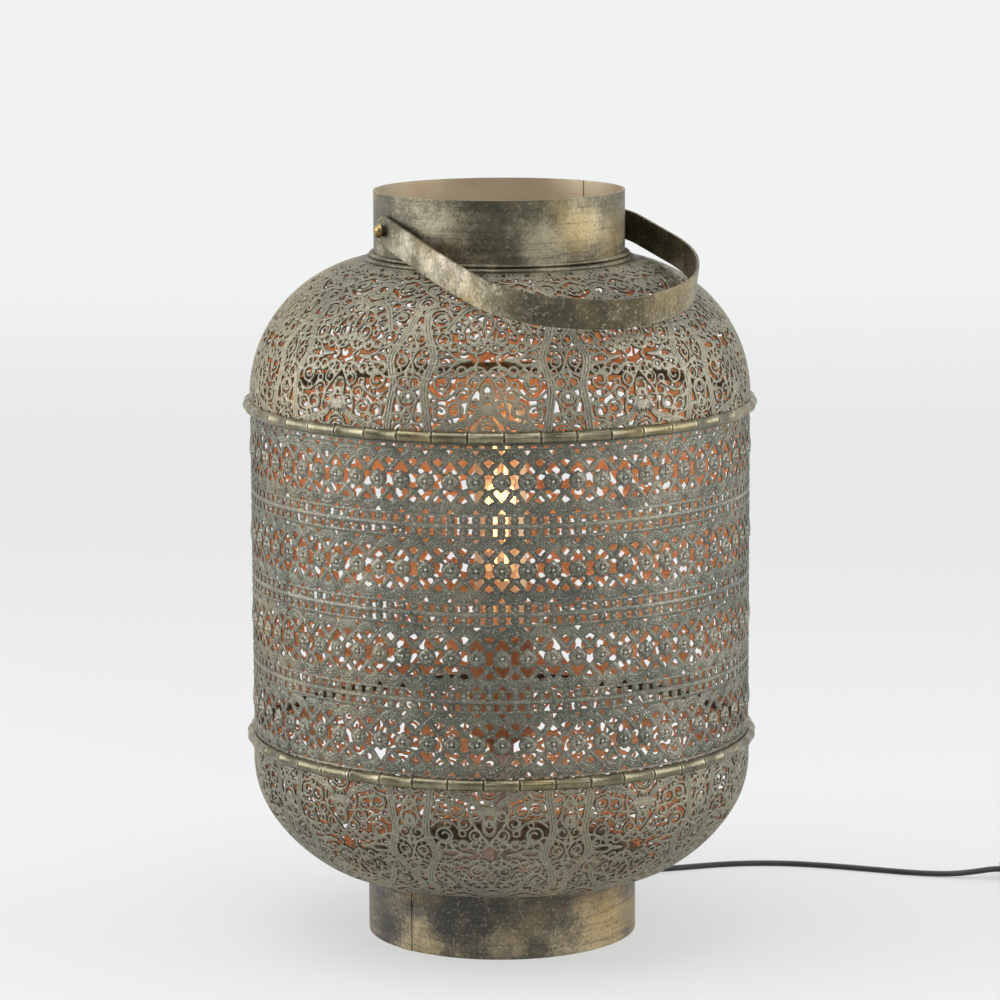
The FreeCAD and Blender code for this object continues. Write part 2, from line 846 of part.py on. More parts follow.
def make_pivot_spacer(name):
    radius = dim("pivot_spacer_radius")
    return turned_body(name, lap_profile(pivot_bore, radius, spacer_start, head_start))


def make_pivot_washer(name):
    radius = dim("pivot_washer_radius")
    end = washer_start + dim("pivot_washer")
    return turned_body(name, lap_profile(pivot_bore, radius, washer_start, end))


def make_pivot_nut(name):
    bore = dim("pivot_shank_radius") + dim("sheet_fit")
    return hex_nut(name, dim("pivot_nut_across"), bore, dim("pivot_nut_height"), nut_start)


def bends(points):
    """The largest tangent arcs that the runs allow: begin, middle, end and centre of each."""
    arcs = []
    for before, here, after in zip(points, points[1:], points[2:]):
        back, ahead = before - here, after - here
        reach = BEND_SHARE * min(back.Length, ahead.Length)
        back, ahead = back.normalize(), ahead.normalize()
        halved = (math.pi - back.getAngle(ahead)) / 2
        radius = reach / math.tan(halved)
        inward = (back + ahead).normalize()
        centre = here + inward * (radius / math.cos(halved))
        arcs.append((here + back * reach, centre - inward * radius, here + ahead * reach, centre))
    return arcs


def strip_side(points, arcs, offset):
    """The runs of one side of a bent strip, at an offset from its middle line."""
    runs = []
    last = None
    for number, (begin, middle, end, centre) in enumerate(arcs):
        left = left_of(points[number], points[number + 1], offset)
        runs.append((points[0] + left if last is None else last, begin + left))
        inward = (begin - centre).normalize()
        radius = (begin - centre).Length + left.dot(inward)
        bulge = centre + (middle - centre).normalize() * radius
        finish = centre + (end - centre).normalize() * radius
        runs.append((begin + left, bulge, finish))
        last = finish
    left = left_of(points[-2], points[-1], offset)
    runs.append((last, points[-1] + left))
    return runs


def left_of(start, end, offset):
    heading = end - start
    return Vector(-heading.y, heading.x, 0).normalize() * offset


def bent_strip(corners, thickness):
    """A flat face that follows a bent line."""
    points = [Vector(u, w, 0) for u, w in corners]
    arcs = bends(points)
    outer = strip_side(points, arcs, thickness / 2)
    inner = strip_side(points, arcs, -thickness / 2)
    edges = [curve_of(run) for run in outer + inner]
    edges.append(Part.makeLine(outer[-1][-1], inner[-1][-1]))
    edges.append(Part.makeLine(inner[0][0], outer[0][0]))
    return Part.Face(Part.Wire(Part.__sortEdges__(edges)))


def curve_of(run):
    if len(run) == 2:
        return Part.makeLine(run[0], run[1])
    return Part.Arc(run[0], run[1], run[2]).toShape()


# Bends of the strap, chosen by hand because it was bent by hand and its two legs differ: the side
# of the collar, how far past the strap's own plane on that side, and how far out from the full
# reach, or from the pivots for the roots. The apex, on side 0, is counted from the middle.
STRAP_LEFT_ROOT = (-1, 0.0, 10.0)
STRAP_BENDS = [
    (-1, -1.0, -82.9),
    (-1, -10.7, -20.9),
    (0, -4.5, 6.5),
    (1, -19.4, -21.6),
    (1, 10.4, -70.8),
]
STRAP_RIGHT_ROOTS = [(1, 5.2, 19.0), (1, 0.0, 8.0)]


def handle_corners():
    middle, reach = strap_middle.number, dim("handle_reach").number
    end = -dim("strap_width").number / 2
    places = [(*STRAP_LEFT_ROOT, 0)] + [(*bend, reach) for bend in STRAP_BENDS]
    places += [(*bend, 0) for bend in STRAP_RIGHT_ROOTS]
    corners = []
    for side, past, out, start in places:
        across = side * (middle + past) if side else past
        corners.append((across, start + out))
    return [(-middle, end)] + corners + [(middle, end)]


def make_handle():
    width = dim("strap_width").number
    strip = document.addObject("Part::Feature", "handle_strip")
    flat = bent_strip(handle_corners(), dim("strap_thickness").number)
    flat.translate(Vector(0, 0, -width / 2))
    strip.Shape = flat.extrude(Vector(0, 0, width))
    # both ends of the strap are rounded about the pivot holes
    reach = dim("handle_reach")
    across = Placement(Vector(-reach.number, 0, 0), Rotation(Vector(0, 1, 0), 90))
    rounding = cylinder("handle_rounding", dim("strap_width") / 2, reach * 2, across)
    rest = document.addObject("Part::Box", "handle_rest")
    bind(rest, "Length", reach * 2)
    bind(rest, "Width", reach * 2)
    bind(rest, "Height", dim("strap_width") * 2)
    rest.Placement = Placement(Vector(-reach.number, 0, -width), Rotation())
    keep = fuse("handle_keep", rounding, rest)
    rounded = document.addObject("Part::Common", "handle_rounded")
    rounded.Base = strip
    rounded.Tool = keep
    holes = cylinder("handle_holes", pivot_bore, reach * 2, across)
    handle = cut("handle", rounded, holes)
    handle.Placement = handle_place()
    handle.setExpression("Placement.Base.z", "Dims.pivot_height")
    return handle


def handle_place():
    turn, tilt = math.radians(dim("pivot_azimuth").number), math.radians(dim("handle_tilt").number)
    out = Vector(math.cos(turn), math.sin(turn), 0)
    level = Vector(math.sin(turn), -math.cos(turn), 0)
    reach = level * math.cos(tilt) + Vector(0, 0, -math.sin(tilt))
    return Placement(
        Vector(0, 0, dim("pivot_height").number),
        Rotation(out, reach, out.cross(reach), "XYZ"),
    )


# ---------------------------------------------------------------- stem and lampholder


def make_stem_pipe():
    length = dim("stem_top") - dim("stem_bottom")
    return tube("stem_pipe", dim("stem_radius"), dim("stem_bore"), length, dim("stem_bottom"))


def stem_levels(thickness, away):
    """Where a nut or washer of a thickness lies under and over the base plate."""
    return plate_bottom - away - thickness, dim("plate_top") + away


def make_stem_nuts():
    levels = stem_levels(dim("stem_nut_height"), dim("stem_washer"))
    bore = dim("stem_radius") + dim("sheet_fit")
    nuts = [
        hex_nut("stem_nut_%d" % number, dim("stem_nut_across"), bore, dim("stem_nut_height"), level)
        for number, level in enumerate(levels, start=1)
    ]
    return group("stem_nuts", *nuts)


def make_stem_washers():
    levels = stem_levels(dim("stem_washer"), zero)
    washers = [
        tube("stem_washer_%d" % n, dim("stem_washer_radius"), stem_hole, dim("stem_washer"), level)
        for n, level in enumerate(levels, start=1)
    ]
    return group("stem_washers", *washers)


def make_holder_cap():
    bottom = dim("holder_cap_bottom")
    neck_top = bottom + dim("holder_neck_height")
    wall = dim("holder_wall")
    bore = dim("stem_radius") + dim("sheet_fit")
    return turned_body(
        "holder_cap",
        [
            (bore, bottom),
            (dim("holder_neck_radius"), bottom),
            (dim("holder_neck_radius"), neck_top),
            (dim("holder_radius"), dim("holder_shoulder_height")),
            (dim("holder_radius"), dim("holder_split")),
            (holder_inner, dim("holder_split")),
            (holder_inner, dim("holder_shoulder_height") + wall),
            (bore, neck_top + wall),
        ],
    )


def make_holder_body():
    rim = dim("holder_rim")
    lip = rim - dim("holder_wall")
    return turned_body(
        "holder_body",
        [
            (holder_inner, dim("holder_split")),
            (dim("holder_radius"), dim("holder_split")),
            (dim("holder_radius"), rim),
            (dim("holder_mouth"), rim),
            (dim("holder_mouth"), lip),
            (holder_inner, lip),
        ],
    )


def make_holder_block():
    radius = holder_inner - dim("sheet_fit")
    body = turned_body(
        "holder_block",
        [(zero, block_bottom), (radius, block_bottom), (radius, block_top), (zero, block_top)],
    )
    wires = sketch_on(body, "XY_Plane", "wire_hole_outlines", block_bottom)
    for side in (1, -1):
        ring_outline(wires, zero, dim("terminal_spread") * side, dim("core_radius") * 2)
    pad(body, wires, "wire_holes", dim("holder_block_height") / 3, kind="Pocket", backwards=True)
    return body


def make_holder_screw_shell():
    outer = dim("holder_shell_radius")
    inner = outer - dim("holder_shell_wall")
    return tube("holder_screw_shell", outer, inner, dim("holder_shell_height"), block_top)


def make_holder_contact():
    radius = dim("bulb_contact_radius")
    return cylinder("holder_contact", radius, dim("holder_contact_height"), None, block_top)


def make_holder_terminals():
    screws = []
    for number, side in enumerate((1, -1), start=1):
        place = Placement(Vector(dim("terminal_spread").number * side, 0, 0), Rotation())
        lift = block_bottom - dim("terminal_height")
        radius = dim("holder_terminal_radius")
        name = "holder_terminal_%d" % number
        screw = cylinder(name, radius, dim("terminal_height"), place, lift)
        screw.setExpression("Placement.Base.x", (dim("terminal_spread") * side).formula)
        screws.append(screw)
    return group("holder_terminals", *screws)


# ---------------------------------------------------------------- bulb


def make_bulb_contact():
    radius = dim("bulb_contact_radius")
    return cylinder("bulb_contact", radius, dim("bulb_contact_height"), None, dim("bulb_seat"))


def make_bulb_insulator():
    bottom = dim("bulb_seat") + dim("bulb_contact_height")
    narrow = dim("bulb_contact_radius")
    top = bulb_cap_bottom
    corners = [(zero, bottom), (narrow, bottom), (bulb_cap_inner, top), (zero, top)]
    return turned_body("bulb_insulator", corners)


def make_bulb_cap():
    """The screw cap: a thin shell rolled into a thread of rounded rings."""
    rings = int(dim("bulb_cap_rings").number)
    outer = dim("bulb_cap_radius")
    inner = outer - dim("bulb_cap_thread")
    wall = dim("bulb_cap_wall")
    bottom, pitch = bulb_cap_bottom, dim("bulb_cap_height") / dim("bulb_cap_rings")
    half = pitch / 2
    bend = (half * half + dim("bulb_cap_thread") * dim("bulb_cap_thread")) / (
        2 * dim("bulb_cap_thread")
    )
    corners, arcs = [(inner - wall, bottom)], {}
    for ring in range(rings):
        start = bottom + pitch * ring
        corners.append((inner, start))
        arcs[len(corners) - 1] = (bend, True)
        corners.append((outer, start + half))
        arcs[len(corners) - 1] = (bend, True)
    corners.append((inner, bulb_cap_top))
    corners.append((inner - wall, bulb_cap_top))
    return turned_body("bulb_cap", corners, arcs)


def bulb_profile(depth):
    """The glass from its open foot to the pole, at a depth inside its outer face."""
    neck = bulb_neck - depth
    wide = dim("bulb_radius") - depth
    foot = bulb_cap_bottom + dim("bulb_foot_gap")
    shoulder = bulb_cap_top + dim("bulb_neck_height")
    return [
        (neck, foot),
        (neck, shoulder),
        (wide, shoulder + dim("bulb_shoulder_height")),
        (wide, bulb_top - dim("bulb_radius")),
        (zero, bulb_top - depth),
    ]


def make_bulb_glass():
    outer = bulb_profile(zero)
    inner = bulb_profile(dim("bulb_glass_wall"))
    corners = outer + inner[::-1]
    inner_bend = dim("bulb_radius") - dim("bulb_glass_wall")
    arcs = {3: (dim("bulb_radius"), True), 5: (inner_bend, False)}
    return turned_body("bulb_glass", corners, arcs)


def make_bulb_mount():
    """The glass foot that carries the wires, flared out to the bulb's neck."""
    foot = bulb_cap_bottom + dim("bulb_foot_gap")
    flare = bulb_neck - dim("bulb_glass_wall") - dim("sheet_fit")
    radius = dim("bulb_mount_radius")
    top = foot + dim("bulb_mount_height")
    corners = [
        (zero, foot),
        (flare, foot),
        (flare, foot + dim("bulb_mount_flare")),
        (radius, foot + dim("bulb_mount_flare") * 3),
        (radius, top),
        (zero, top),
    ]
    return turned_body("bulb_mount", corners)


def filament_spot(side):
    turn = math.radians(dim("bulb_filament_azimuth").number)
    reach = dim("bulb_filament_offset").number * side
    return Vector(reach * math.cos(turn), reach * math.sin(turn), 0)


def make_bulb_filaments():
    sticks = []
    for number, side in enumerate((1, -1), start=1):
        place = Placement(filament_spot(side), Rotation())
        length = dim("bulb_filament_length")
        radius = dim("bulb_filament_radius")
        name = "bulb_filament_%d" % number
        sticks.append(cylinder(name, radius, length, place, dim("bulb_filament_bottom")))
    return group("bulb_filaments", *sticks)


def make_bulb_supports():
    """Two wires up to the sticks and a middle one that joins their tops."""
    foot = bulb_cap_bottom.number + (dim("bulb_foot_gap") + dim("bulb_mount_height")).number
    bottom = dim("bulb_filament_bottom").number
    top = bottom + dim("bulb_filament_length").number
    radius = dim("bulb_wire_radius").number
    rise = Vector(0, 0, dim("bulb_wire_rise").number)
    over = Vector(0, 0, top) + rise
    shapes = []
    for side in (1, -1):
        spot = filament_spot(side)
        low = spot + Vector(0, 0, bottom)
        high = spot + Vector(0, 0, top)
        root_point = spot * WIRE_GATHER + Vector(0, 0, foot)
        shapes.append(rod(root_point, low, radius))
        shapes.append(rod(high, high + rise, radius))
        shapes.append(rod(over, high + rise, radius))
        shapes.append(Part.makeSphere(radius, high + rise))
    shapes.append(rod(Vector(0, 0, foot), over, radius))
    wires = document.addObject("Part::Feature", "bulb_supports")
    wires.Shape = shapes[-1].fuse(shapes[:-1])
    return wires


def rod(start, end, radius):
    return Part.makeCylinder(radius, (end - start).Length, start, end - start)


# ---------------------------------------------------------------- cord


def exit_point(distance, height=None):
    """A point in the upright plane of the cord's way out of the foot."""
    turn = math.radians(90 - dim("cord_exit_azimuth").number)
    if height is None:
        height = dim("cord_exit_height").number
    return Vector(distance * math.cos(turn), distance * math.sin(turn), height)


def make_strain_relief():
    """Its flange and nut grip the wall of the foot; the tapered sleeve is outside."""
    root_radius = dim("relief_root_radius")
    seat = foot_inner - dim("running_fit")
    inside = seat - dim("relief_flange")
    collar = dim("foot_radius") + dim("running_fit")
    corners = [
        (zero, relief_start),
        (root_radius, relief_start),
        (root_radius, inside),
        (dim("relief_flange_radius"), inside),
        (dim("relief_flange_radius"), seat),
        (root_radius, seat),
        (root_radius, collar),
        (dim("relief_tip_radius"), relief_end),
        (zero, relief_end),
    ]
    body = turned_body("strain_relief", corners)
    level = Rotation(Vector(0, 1, 0), 90)
    turn = Rotation(Vector(0, 0, 1), 90 - dim("cord_exit_azimuth").number)
    body.Placement = Placement(Vector(0, 0, dim("cord_exit_height").number), turn * level)
    body.setExpression("Placement.Base.z", "Dims.cord_exit_height")
    return body


def flat_section(start, heading, level):
    """The cord's flat section with rounded edges, square to its heading, wide along level."""
    wide = dim("cord_width").number / 2
    thin = dim("cord_thickness").number / 2
    across = level - heading * level.dot(heading)
    across.normalize()
    rise = heading.cross(across)
    flat = wide - thin
    corner = [start + across * (flat * i) + rise * (thin * j) for i, j in CORNERS]
    ends = [start + across * (wide * i) for i in (1, -1)]
    return Part.Wire(
        [
            Part.makeLine(corner[0], corner[1]),
            Part.Arc(corner[1], ends[1], corner[2]).toShape(),
            Part.makeLine(corner[2], corner[3]),
            Part.Arc(corner[3], ends[0], corner[0]).toShape(),
        ]
    )


def bent_path(points):
    """Straight runs joined by bends, and the bends' radii."""
    edges, radii, last = [], [], points[0]
    for begin, middle, end, centre in bends(points):
        edges += [Part.makeLine(last, begin), Part.Arc(begin, middle, end).toShape()]
        radii.append((begin - centre).Length)
        last = end
    edges.append(Part.makeLine(last, points[-1]))
    return edges, radii


def swept(name, edges, level=None, section=None):
    """A tube along edges; level keeps the flat section's wide side in that direction."""
    path = Part.Wire(edges)
    start = edges[0].valueAt(edges[0].FirstParameter)
    heading = edges[0].tangentAt(edges[0].FirstParameter)
    if section is None:
        side = level if level is not None else Vector(0, 0, 1).cross(heading)
        section = flat_section(start, heading, side)
    shell = Part.BRepOffsetAPI.MakePipeShell(path)
    if level is None:
        shell.setFrenetMode(False)
    shell.add(section)
    shell.build()
    shell.makeSolid()
    thing = document.addObject("Part::Feature", name)
    thing.Shape = shell.shape()
    area = Part.Face(section).Area
    print(
        "%s: length %.1f mm, volume %.4f of section x length"
        % (name, path.Length, thing.Shape.Volume / (area * path.Length))
    )
    return thing, path.Length


def make_inner_lead():
    """From the strain relief under the plate, up the stem and into the cap of the holder."""
    bend = dim("lead_turn").number
    low = dim("cord_exit_height").number
    side = exit_point(1, 0)
    begin = exit_point(relief_start.number)
    corner = Vector(0, 0, low)
    leave = exit_point(bend)
    rise = corner + Vector(0, 0, bend)
    middle = corner + (side + Vector(0, 0, 1)) * (bend * (1 - math.sqrt(0.5)))
    top = Vector(0, 0, dim("stem_top").number + dim("lead_spare").number)
    edges = [
        Part.makeLine(begin, leave),
        Part.Arc(leave, middle, rise).toShape(),
        Part.makeLine(rise, top),
    ]
    return swept("inner_lead", edges, Vector(0, 0, 1).cross(side))[0]


def make_lead_cores():
    """Two insulated cores from the end of the flat lead to the terminals."""
    start = dim("stem_top").number + dim("lead_spare").number
    end = (block_bottom - dim("terminal_height")).number
    side = Vector(0, 0, 1).cross(exit_point(1, 0))
    radius = dim("core_radius").number
    near = dim("cord_width").number / 4
    cores = []
    for number, sign in enumerate((1, -1), start=1):
        low = side * (near * sign) + Vector(0, 0, start)
        high = Vector(dim("terminal_spread").number * sign, 0, end)
        if side.x < 0:
            high.x = -high.x
        third = (end - start) / 3
        points = [low, low + Vector(0, 0, third), high - Vector(0, 0, third), high]
        edges, _ = bent_path(points)
        section = Part.Wire(Part.makeCircle(radius, low, Vector(0, 0, 1)))
        cores.append(swept("lead_core_%d" % number, edges, None, section)[0])
    return group("lead_cores", *cores)


# The cord on the floor from the strain relief to its switch, where it shows and just past that
def lead_points():
    floor = floor_line.number
    way_in = dim("switch_base_height").number
    end, y = switch_start.number, dim("switch_y").number
    return [
        exit_point(relief_end.number),
        exit_point(relief_end.number + 10.0),
        Vector(61.8, 111.0, 10.2),
        Vector(76.0, 118.8, 5.0),
        Vector(95.0, 125.4, 2.2),
        Vector(118.0, 134.0, floor),
        Vector(148.0, 141.3, floor),
        Vector(180.0, 140.8, floor),
        Vector(212.0, 133.0, floor),
        Vector(240.0, 122.5, floor),
        Vector(266.0, 113.0, floor),
        Vector(288.0, 107.5, 2.2),
        Vector(end - 15.0, y, 4.4),
        Vector(end - 5.5, y, way_in),
        Vector(end, y, way_in),
    ]


def link_points():
    floor = floor_line.number
    way_out = dim("switch_base_height").number
    start, y = switch_end.number, dim("switch_y").number
    coil_side = (dim("coil_x") - dim("coil_lead")).number
    return [
        Vector(start, y, way_out),
        Vector(start + 7.0, y, way_out),
        Vector(start + 16.0, y, floor + 2.2),
        Vector(start + 25.0, y, floor),
        Vector(coil_side, y, floor),
    ]


def tail_points():
    drop = Vector(0, 0, floor_line.number - coil_levels()[1])
    x, y, z = dim("plug_x").number, dim("plug_y").number, plug_axis.number
    end = coil_walk()[1]
    return [
        end,
        end + Vector(-13.0, 0, 0),
        end + Vector(-30.0, -4.0, 0) + drop,
        end + Vector(-45.0, -14.0, 0) + drop,
        end + Vector(-54.0, -29.0, 0) + drop,
        Vector(x, y + 27.5, z - 4.0),
        Vector(x, y + 12.0, z),
        Vector(x, y, z),
    ]


def coil_levels():
    low = floor_line.number
    return low, low + dim("cord_thickness").number + dim("coil_spacing").number


def coil_radii():
    """Outermost and innermost radius of the cord's middle line in the coil."""
    pitch = (dim("cord_width") + dim("coil_spacing")).number
    turns = dim("coil_turns_in").number + 0.5
    middle = dim("coil_middle_radius").number
    return middle + turns * pitch / 2, middle - turns * pitch / 2


def half_turns(here, radii, down):
    """Level half turns about the coil's middle, one after the other."""
    edges = []
    for radius in radii:
        there = here + Vector(0, 2 * radius * down, 0)
        bulge = (here + there) * 0.5 + Vector(-radius * down, 0, 0)
        edges.append(Part.Arc(here, bulge, there).toShape())
        here, down = there, -down
    return edges, here


def coil_walk():
    """Wound clockwise: in on the floor, up a layer in half a turn, out again on top."""
    low, high = coil_levels()
    outer, inner = coil_radii()
    steps = int(round(dim("coil_turns_in").number * 2))
    shrink = (outer - inner) / (steps + 1)
    radii = [outer - shrink * (step + 0.5) for step in range(steps - 1)] + [inner + shrink]
    lead = Vector(dim("coil_lead").number, 0, 0)
    start = Vector(dim("coil_x").number, dim("switch_y").number, low)
    inward, here = half_turns(start, radii, -1)
    # the climb: two arcs that leave and arrive level
    down = -1 if steps % 2 == 0 else 1
    there = here + Vector(0, 2 * inner * down, high - low)
    heading = Vector(-down, 0, 0)
    joint = (here + there) * 0.5 + heading * ((there - here).Length / 2)
    climb = [arc_from(here, heading, joint).toShape(), arc_back(joint, heading, there).toShape()]
    outward, end = half_turns(there, radii[::-1], -down)
    edges = [Part.makeLine(start - lead, start)] + inward + climb + outward
    return edges + [Part.makeLine(end, end - lead)], end - lead


def make_cord_coil():
    edges, _ = coil_walk()
    coil, length = swept("cord_coil", edges)
    print("cord_coil: least gap to itself %.2f mm" % coil_gap(edges))
    return coil, length


def arc_from(start, heading, end):
    """The circular arc that leaves a point along a heading and ends at another."""
    chord = end - start
    normal = heading.cross(chord).normalize()
    side = normal.cross(heading).normalize()
    radius = chord.Length**2 / (2 * chord.dot(side))
    centre = start + side * radius
    half = math.acos(max(-1, min(1, (start - centre).dot(end - centre) / radius**2))) / 2
    middle = centre + Rotation(normal, math.degrees(half)).multVec(start - centre)
    return Part.Arc(start, middle, end)


def arc_back(start, heading, end):
    """The circular arc between two points that arrives against a heading."""
    mirror = arc_from(end, heading, start)
    middle = mirror.value((mirror.FirstParameter + mirror.LastParameter) / 2)
    return Part.Arc(start, middle, end)


def coil_gap(edges):
    """Least gap between stretches of the coil that lie beside or on each other."""
    step = dim("cord_thickness").number
    points, along, travelled = [], [], 0.0
    for edge in edges:
        count = max(2, int(edge.Length / step))
        for point in edge.discretize(count)[:-1]:
            if points:
                travelled += (point - points[-1]).Length
            points.append(point)
            along.append(travelled)
    wide, thin = dim("cord_width").number, dim("cord_thickness").number
    far = math.pi * coil_radii()[1]
    least = wide
    for i, here in enumerate(points):
        for j in range(i + 1, len(points)):
            if along[j] - along[i] < far:
                continue
            there = points[j]
            level = math.hypot(here.x - there.x, here.y - there.y)
            rise = abs(here.z - there.z)
            if level < wide * 2 and rise < thin * 2:
                gap = math.hypot(max(level - wide, 0), max(rise - thin, 0))
                least = min(least, gap)
    return least


# ---------------------------------------------------------------- cord switch


def rounded_bar(sketch, length, width, corner):
    """A rounded rectangle about the sketch's origin."""
    x, y = length / 2, width / 2
    corners = [
        (-x + corner, -y),
        (x - corner, -y),
        (x, -y + corner),
        (x, y - corner),
        (x - corner, y),
        (-x + corner, y),
        (-x, y - corner),
        (-x, -y + corner),
    ]
    arcs = {1: (corner, True), 3: (corner, True), 5: (corner, True), 7: (corner, True)}
    outline(sketch, corners, arcs)


def switch_half(name, bottom, height, neck_bottom, hollow_bottom):
    """Half of the switch's housing: a shallow tray with a neck at each end for the cord."""
    body = new_body(name)
    length, width = dim("switch_length"), dim("switch_width")
    wall = dim("switch_wall")
    plan = sketch_on(body, "XY_Plane", name + "_plan", bottom)
    rounded_bar(plan, length, width, dim("switch_corner"))
    pad(body, plan, name + "_block", height)
    necks = sketch_on(body, "XY_Plane", name + "_neck_plan", neck_bottom)
    x = length / 2 + dim("switch_neck_length")
    y = dim("switch_neck_width") / 2
    outline(necks, [(-x, -y), (x, -y), (x, y), (-x, y)])
    pad(body, necks, name + "_necks", dim("switch_neck_height"))
    hollow = sketch_on(body, "XY_Plane", name + "_hollow_plan", hollow_bottom)
    rounded_bar(hollow, length - wall * 2, width - wall * 2, dim("switch_corner") - wall)
    pad(body, hollow, name + "_hollow", height - wall, kind="Pocket", backwards=True)
    bind_base(body, "x", dim("switch_x"))
    bind_base(body, "y", dim("switch_y"))
    return body


def make_switch_base():
    bottom, top = dim("floor_gap"), dim("switch_base_height")
    neck = top - dim("switch_neck_height")
    body = switch_half("switch_base", bottom, top - bottom, neck, bottom + dim("switch_wall"))
    posts = sketch_on(body, "XY_Plane", "switch_post_plan", dim("floor_gap"))
    for side in (1, -1):
        ring_outline(posts, dim("switch_screw_spread") * side, zero, dim("switch_post_radius"))
    pad(body, posts, "switch_posts", dim("switch_base_height") - dim("floor_gap"))
    holes = sketch_on(body, "XY_Plane", "switch_hole_plan", dim("floor_gap"))
    for side in (1, -1):
        ring_outline(holes, dim("switch_screw_spread") * side, zero, switch_bore)
    pad(body, holes, "switch_holes", dim("switch_base_height"), kind="Pocket", backwards=True)
    return body


def make_switch_cover():
    bottom = dim("switch_base_height")
    body = switch_half("switch_cover", bottom, dim("switch_cover_height"), bottom, bottom)
    posts = sketch_on(body, "XY_Plane", "cover_post_plan", bottom)
    for side in (1, -1):
        ring_outline(posts, dim("switch_screw_spread") * side, zero, dim("switch_post_radius"))
    pad(body, posts, "cover_posts", dim("switch_cover_height") - dim("switch_wall") / 2)
    # bearings for the rocker's axle hang from the cover
    bearings = sketch_on(body, "XY_Plane", "bearing_plan", rocker_axis - dim("rocker_bearing"))
    near = rocker_window_y
    far = near + dim("rocker_bearing")
    x = dim("rocker_bearing")
    outline(bearings, [(-x, near), (x, near), (x, far), (-x, far)])
    outline(bearings, [(-x, -far), (x, -far), (x, -near), (-x, -near)])
    rise = cover_top - dim("switch_wall") / 2 - rocker_axis + dim("rocker_bearing")
    pad(body, bearings, "bearings", rise)
    axle = sketch_on(body, "XZ_Plane", "axle_hole_outline")
    ring_outline(axle, zero, rocker_axis, dim("rocker_axle_radius") + dim("running_fit"))
    pad(body, axle, "axle_holes", rocker_axle * 2 + dim("running_fit") * 2, True, "Pocket")
    opening = sketch_on(body, "XY_Plane", "rocker_window_plan", cover_top)
    x, y = rocker_window_x, rocker_window_y
    outline(opening, [(-x, -y), (x, -y), (x, y), (-x, y)])
    pad(body, opening, "rocker_window", dim("switch_wall") * 2, kind="Pocket")
    holes = sketch_on(body, "XY_Plane", "cover_hole_plan", bottom)
    for side in (1, -1):
        ring_outline(holes, dim("switch_screw_spread") * side, zero, switch_bore)
    depth = dim("switch_screw_length") - bottom + dim("running_fit") * 3
    pad(body, holes, "cover_holes", depth, kind="Pocket", backwards=True)
    return body


def make_switch_rocker():
    """A shallow roof-shaped key on an axle, resting with one side down."""
    body = new_body("switch_rocker")
    side = sketch_on(body, "XZ_Plane", "rocker_side")
    x = dim("rocker_length") / 2
    rise, dip = dim("rocker_rise"), dim("rocker_depth")
    middle = rise - dim("rocker_dish")
    corners = [(-x, -dip / 2), (zero, -dip), (x, -dip / 2), (x, rise), (zero, middle), (-x, rise)]
    outline(side, corners)
    pad(body, side, "rocker_key", dim("rocker_width"), both_ways=True)
    axle = sketch_on(body, "XZ_Plane", "rocker_axle_outline")
    ring_outline(axle, zero, zero, dim("rocker_axle_radius"))
    pad(body, axle, "rocker_axle", rocker_axle * 2, both_ways=True)
    body.Placement = Placement(Vector(), Rotation(Vector(0, 1, 0), dim("rocker_tilt").number))
    bind_base(body, "x", dim("switch_x"))
    bind_base(body, "y", dim("switch_y"))
    bind_base(body, "z", rocker_axis)
    return body


def make_switch_screws():
    screws = []
    for number, side in enumerate((1, -1), start=1):
        bottom = dim("floor_gap") + dim("running_fit")
        radius = dim("switch_screw_radius")
        length = dim("switch_screw_length") - bottom
        screw = cylinder("switch_screw_%d" % number, radius, length, None, bottom)
        bind_base(screw, "x", dim("switch_x") + dim("switch_screw_spread") * side)
        bind_base(screw, "y", dim("switch_y"))
        screws.append(screw)
    return group("switch_screws", *screws)


def make_switch_contacts():
    """Two brass strips on the floor of the housing, one each side of the rocker."""
    strips = []
    for number, side in enumerate((1, -1), start=1):
        strip = document.addObject("Part::Box", "switch_contact_%d" % number)
        bind(strip, "Length", dim("contact_length"))
        bind(strip, "Width", dim("contact_width"))
        bind(strip, "Height", dim("contact_height"))
        middle = dim("switch_y") + dim("contact_spread") * side
        bind_base(strip, "x", dim("switch_x") - dim("contact_length") / 2)
        bind_base(strip, "y", middle - dim("contact_width") / 2)
        bind_base(strip, "z", dim("floor_gap") + dim("switch_wall"))
        strips.append(strip)
    return group("switch_contacts", *strips)


# ---------------------------------------------------------------- plug


def make_plug_body():
    """The flat two-pin plug, lying on the floor with its pins along -Y."""
    body = new_body("plug_body")
    plan = sketch_on(body, "XY_Plane", "plug_plan", dim("floor_gap"))
    wide, narrow = dim("plug_width") / 2, dim("plug_rear_width") / 2
    length = dim("plug_length")
    waist = length - dim("plug_waist")
    right = [(wide, -length), (wide, -waist), (narrow, zero)]
    outline(plan, [(-wide, -length)] + right + [(-narrow, zero), (-wide, -waist)])
    pad(body, plan, "plug_block", dim("plug_thickness"))
    bind_base(body, "x", dim("plug_x"))
    bind_base(body, "y", plug_rear)
    return body


def make_plug_pins():
    pins = []
    for number, side in enumerate((1, -1), start=1):
        body = turned_body(
            "plug_pin_%d" % number,
            [
                (zero, zero),
                (dim("plug_pin_radius"), zero),
                (dim("plug_pin_radius"), dim("plug_pin_length") - dim("plug_pin_round")),
                (dim("plug_pin_radius") - dim("plug_pin_round"), dim("plug_pin_length")),
                (zero, dim("plug_pin_length")),
            ],
        )
        body.Placement = Placement(Vector(), Rotation(Vector(1, 0, 0), 90))
        bind_base(body, "x", dim("plug_x") + dim("plug_pin_pitch") / 2 * side)
        bind_base(body, "y", plug_rear - dim("plug_length"))
        bind_base(body, "z", plug_axis)
        pins.append(body)
    return group("plug_pins", *pins)


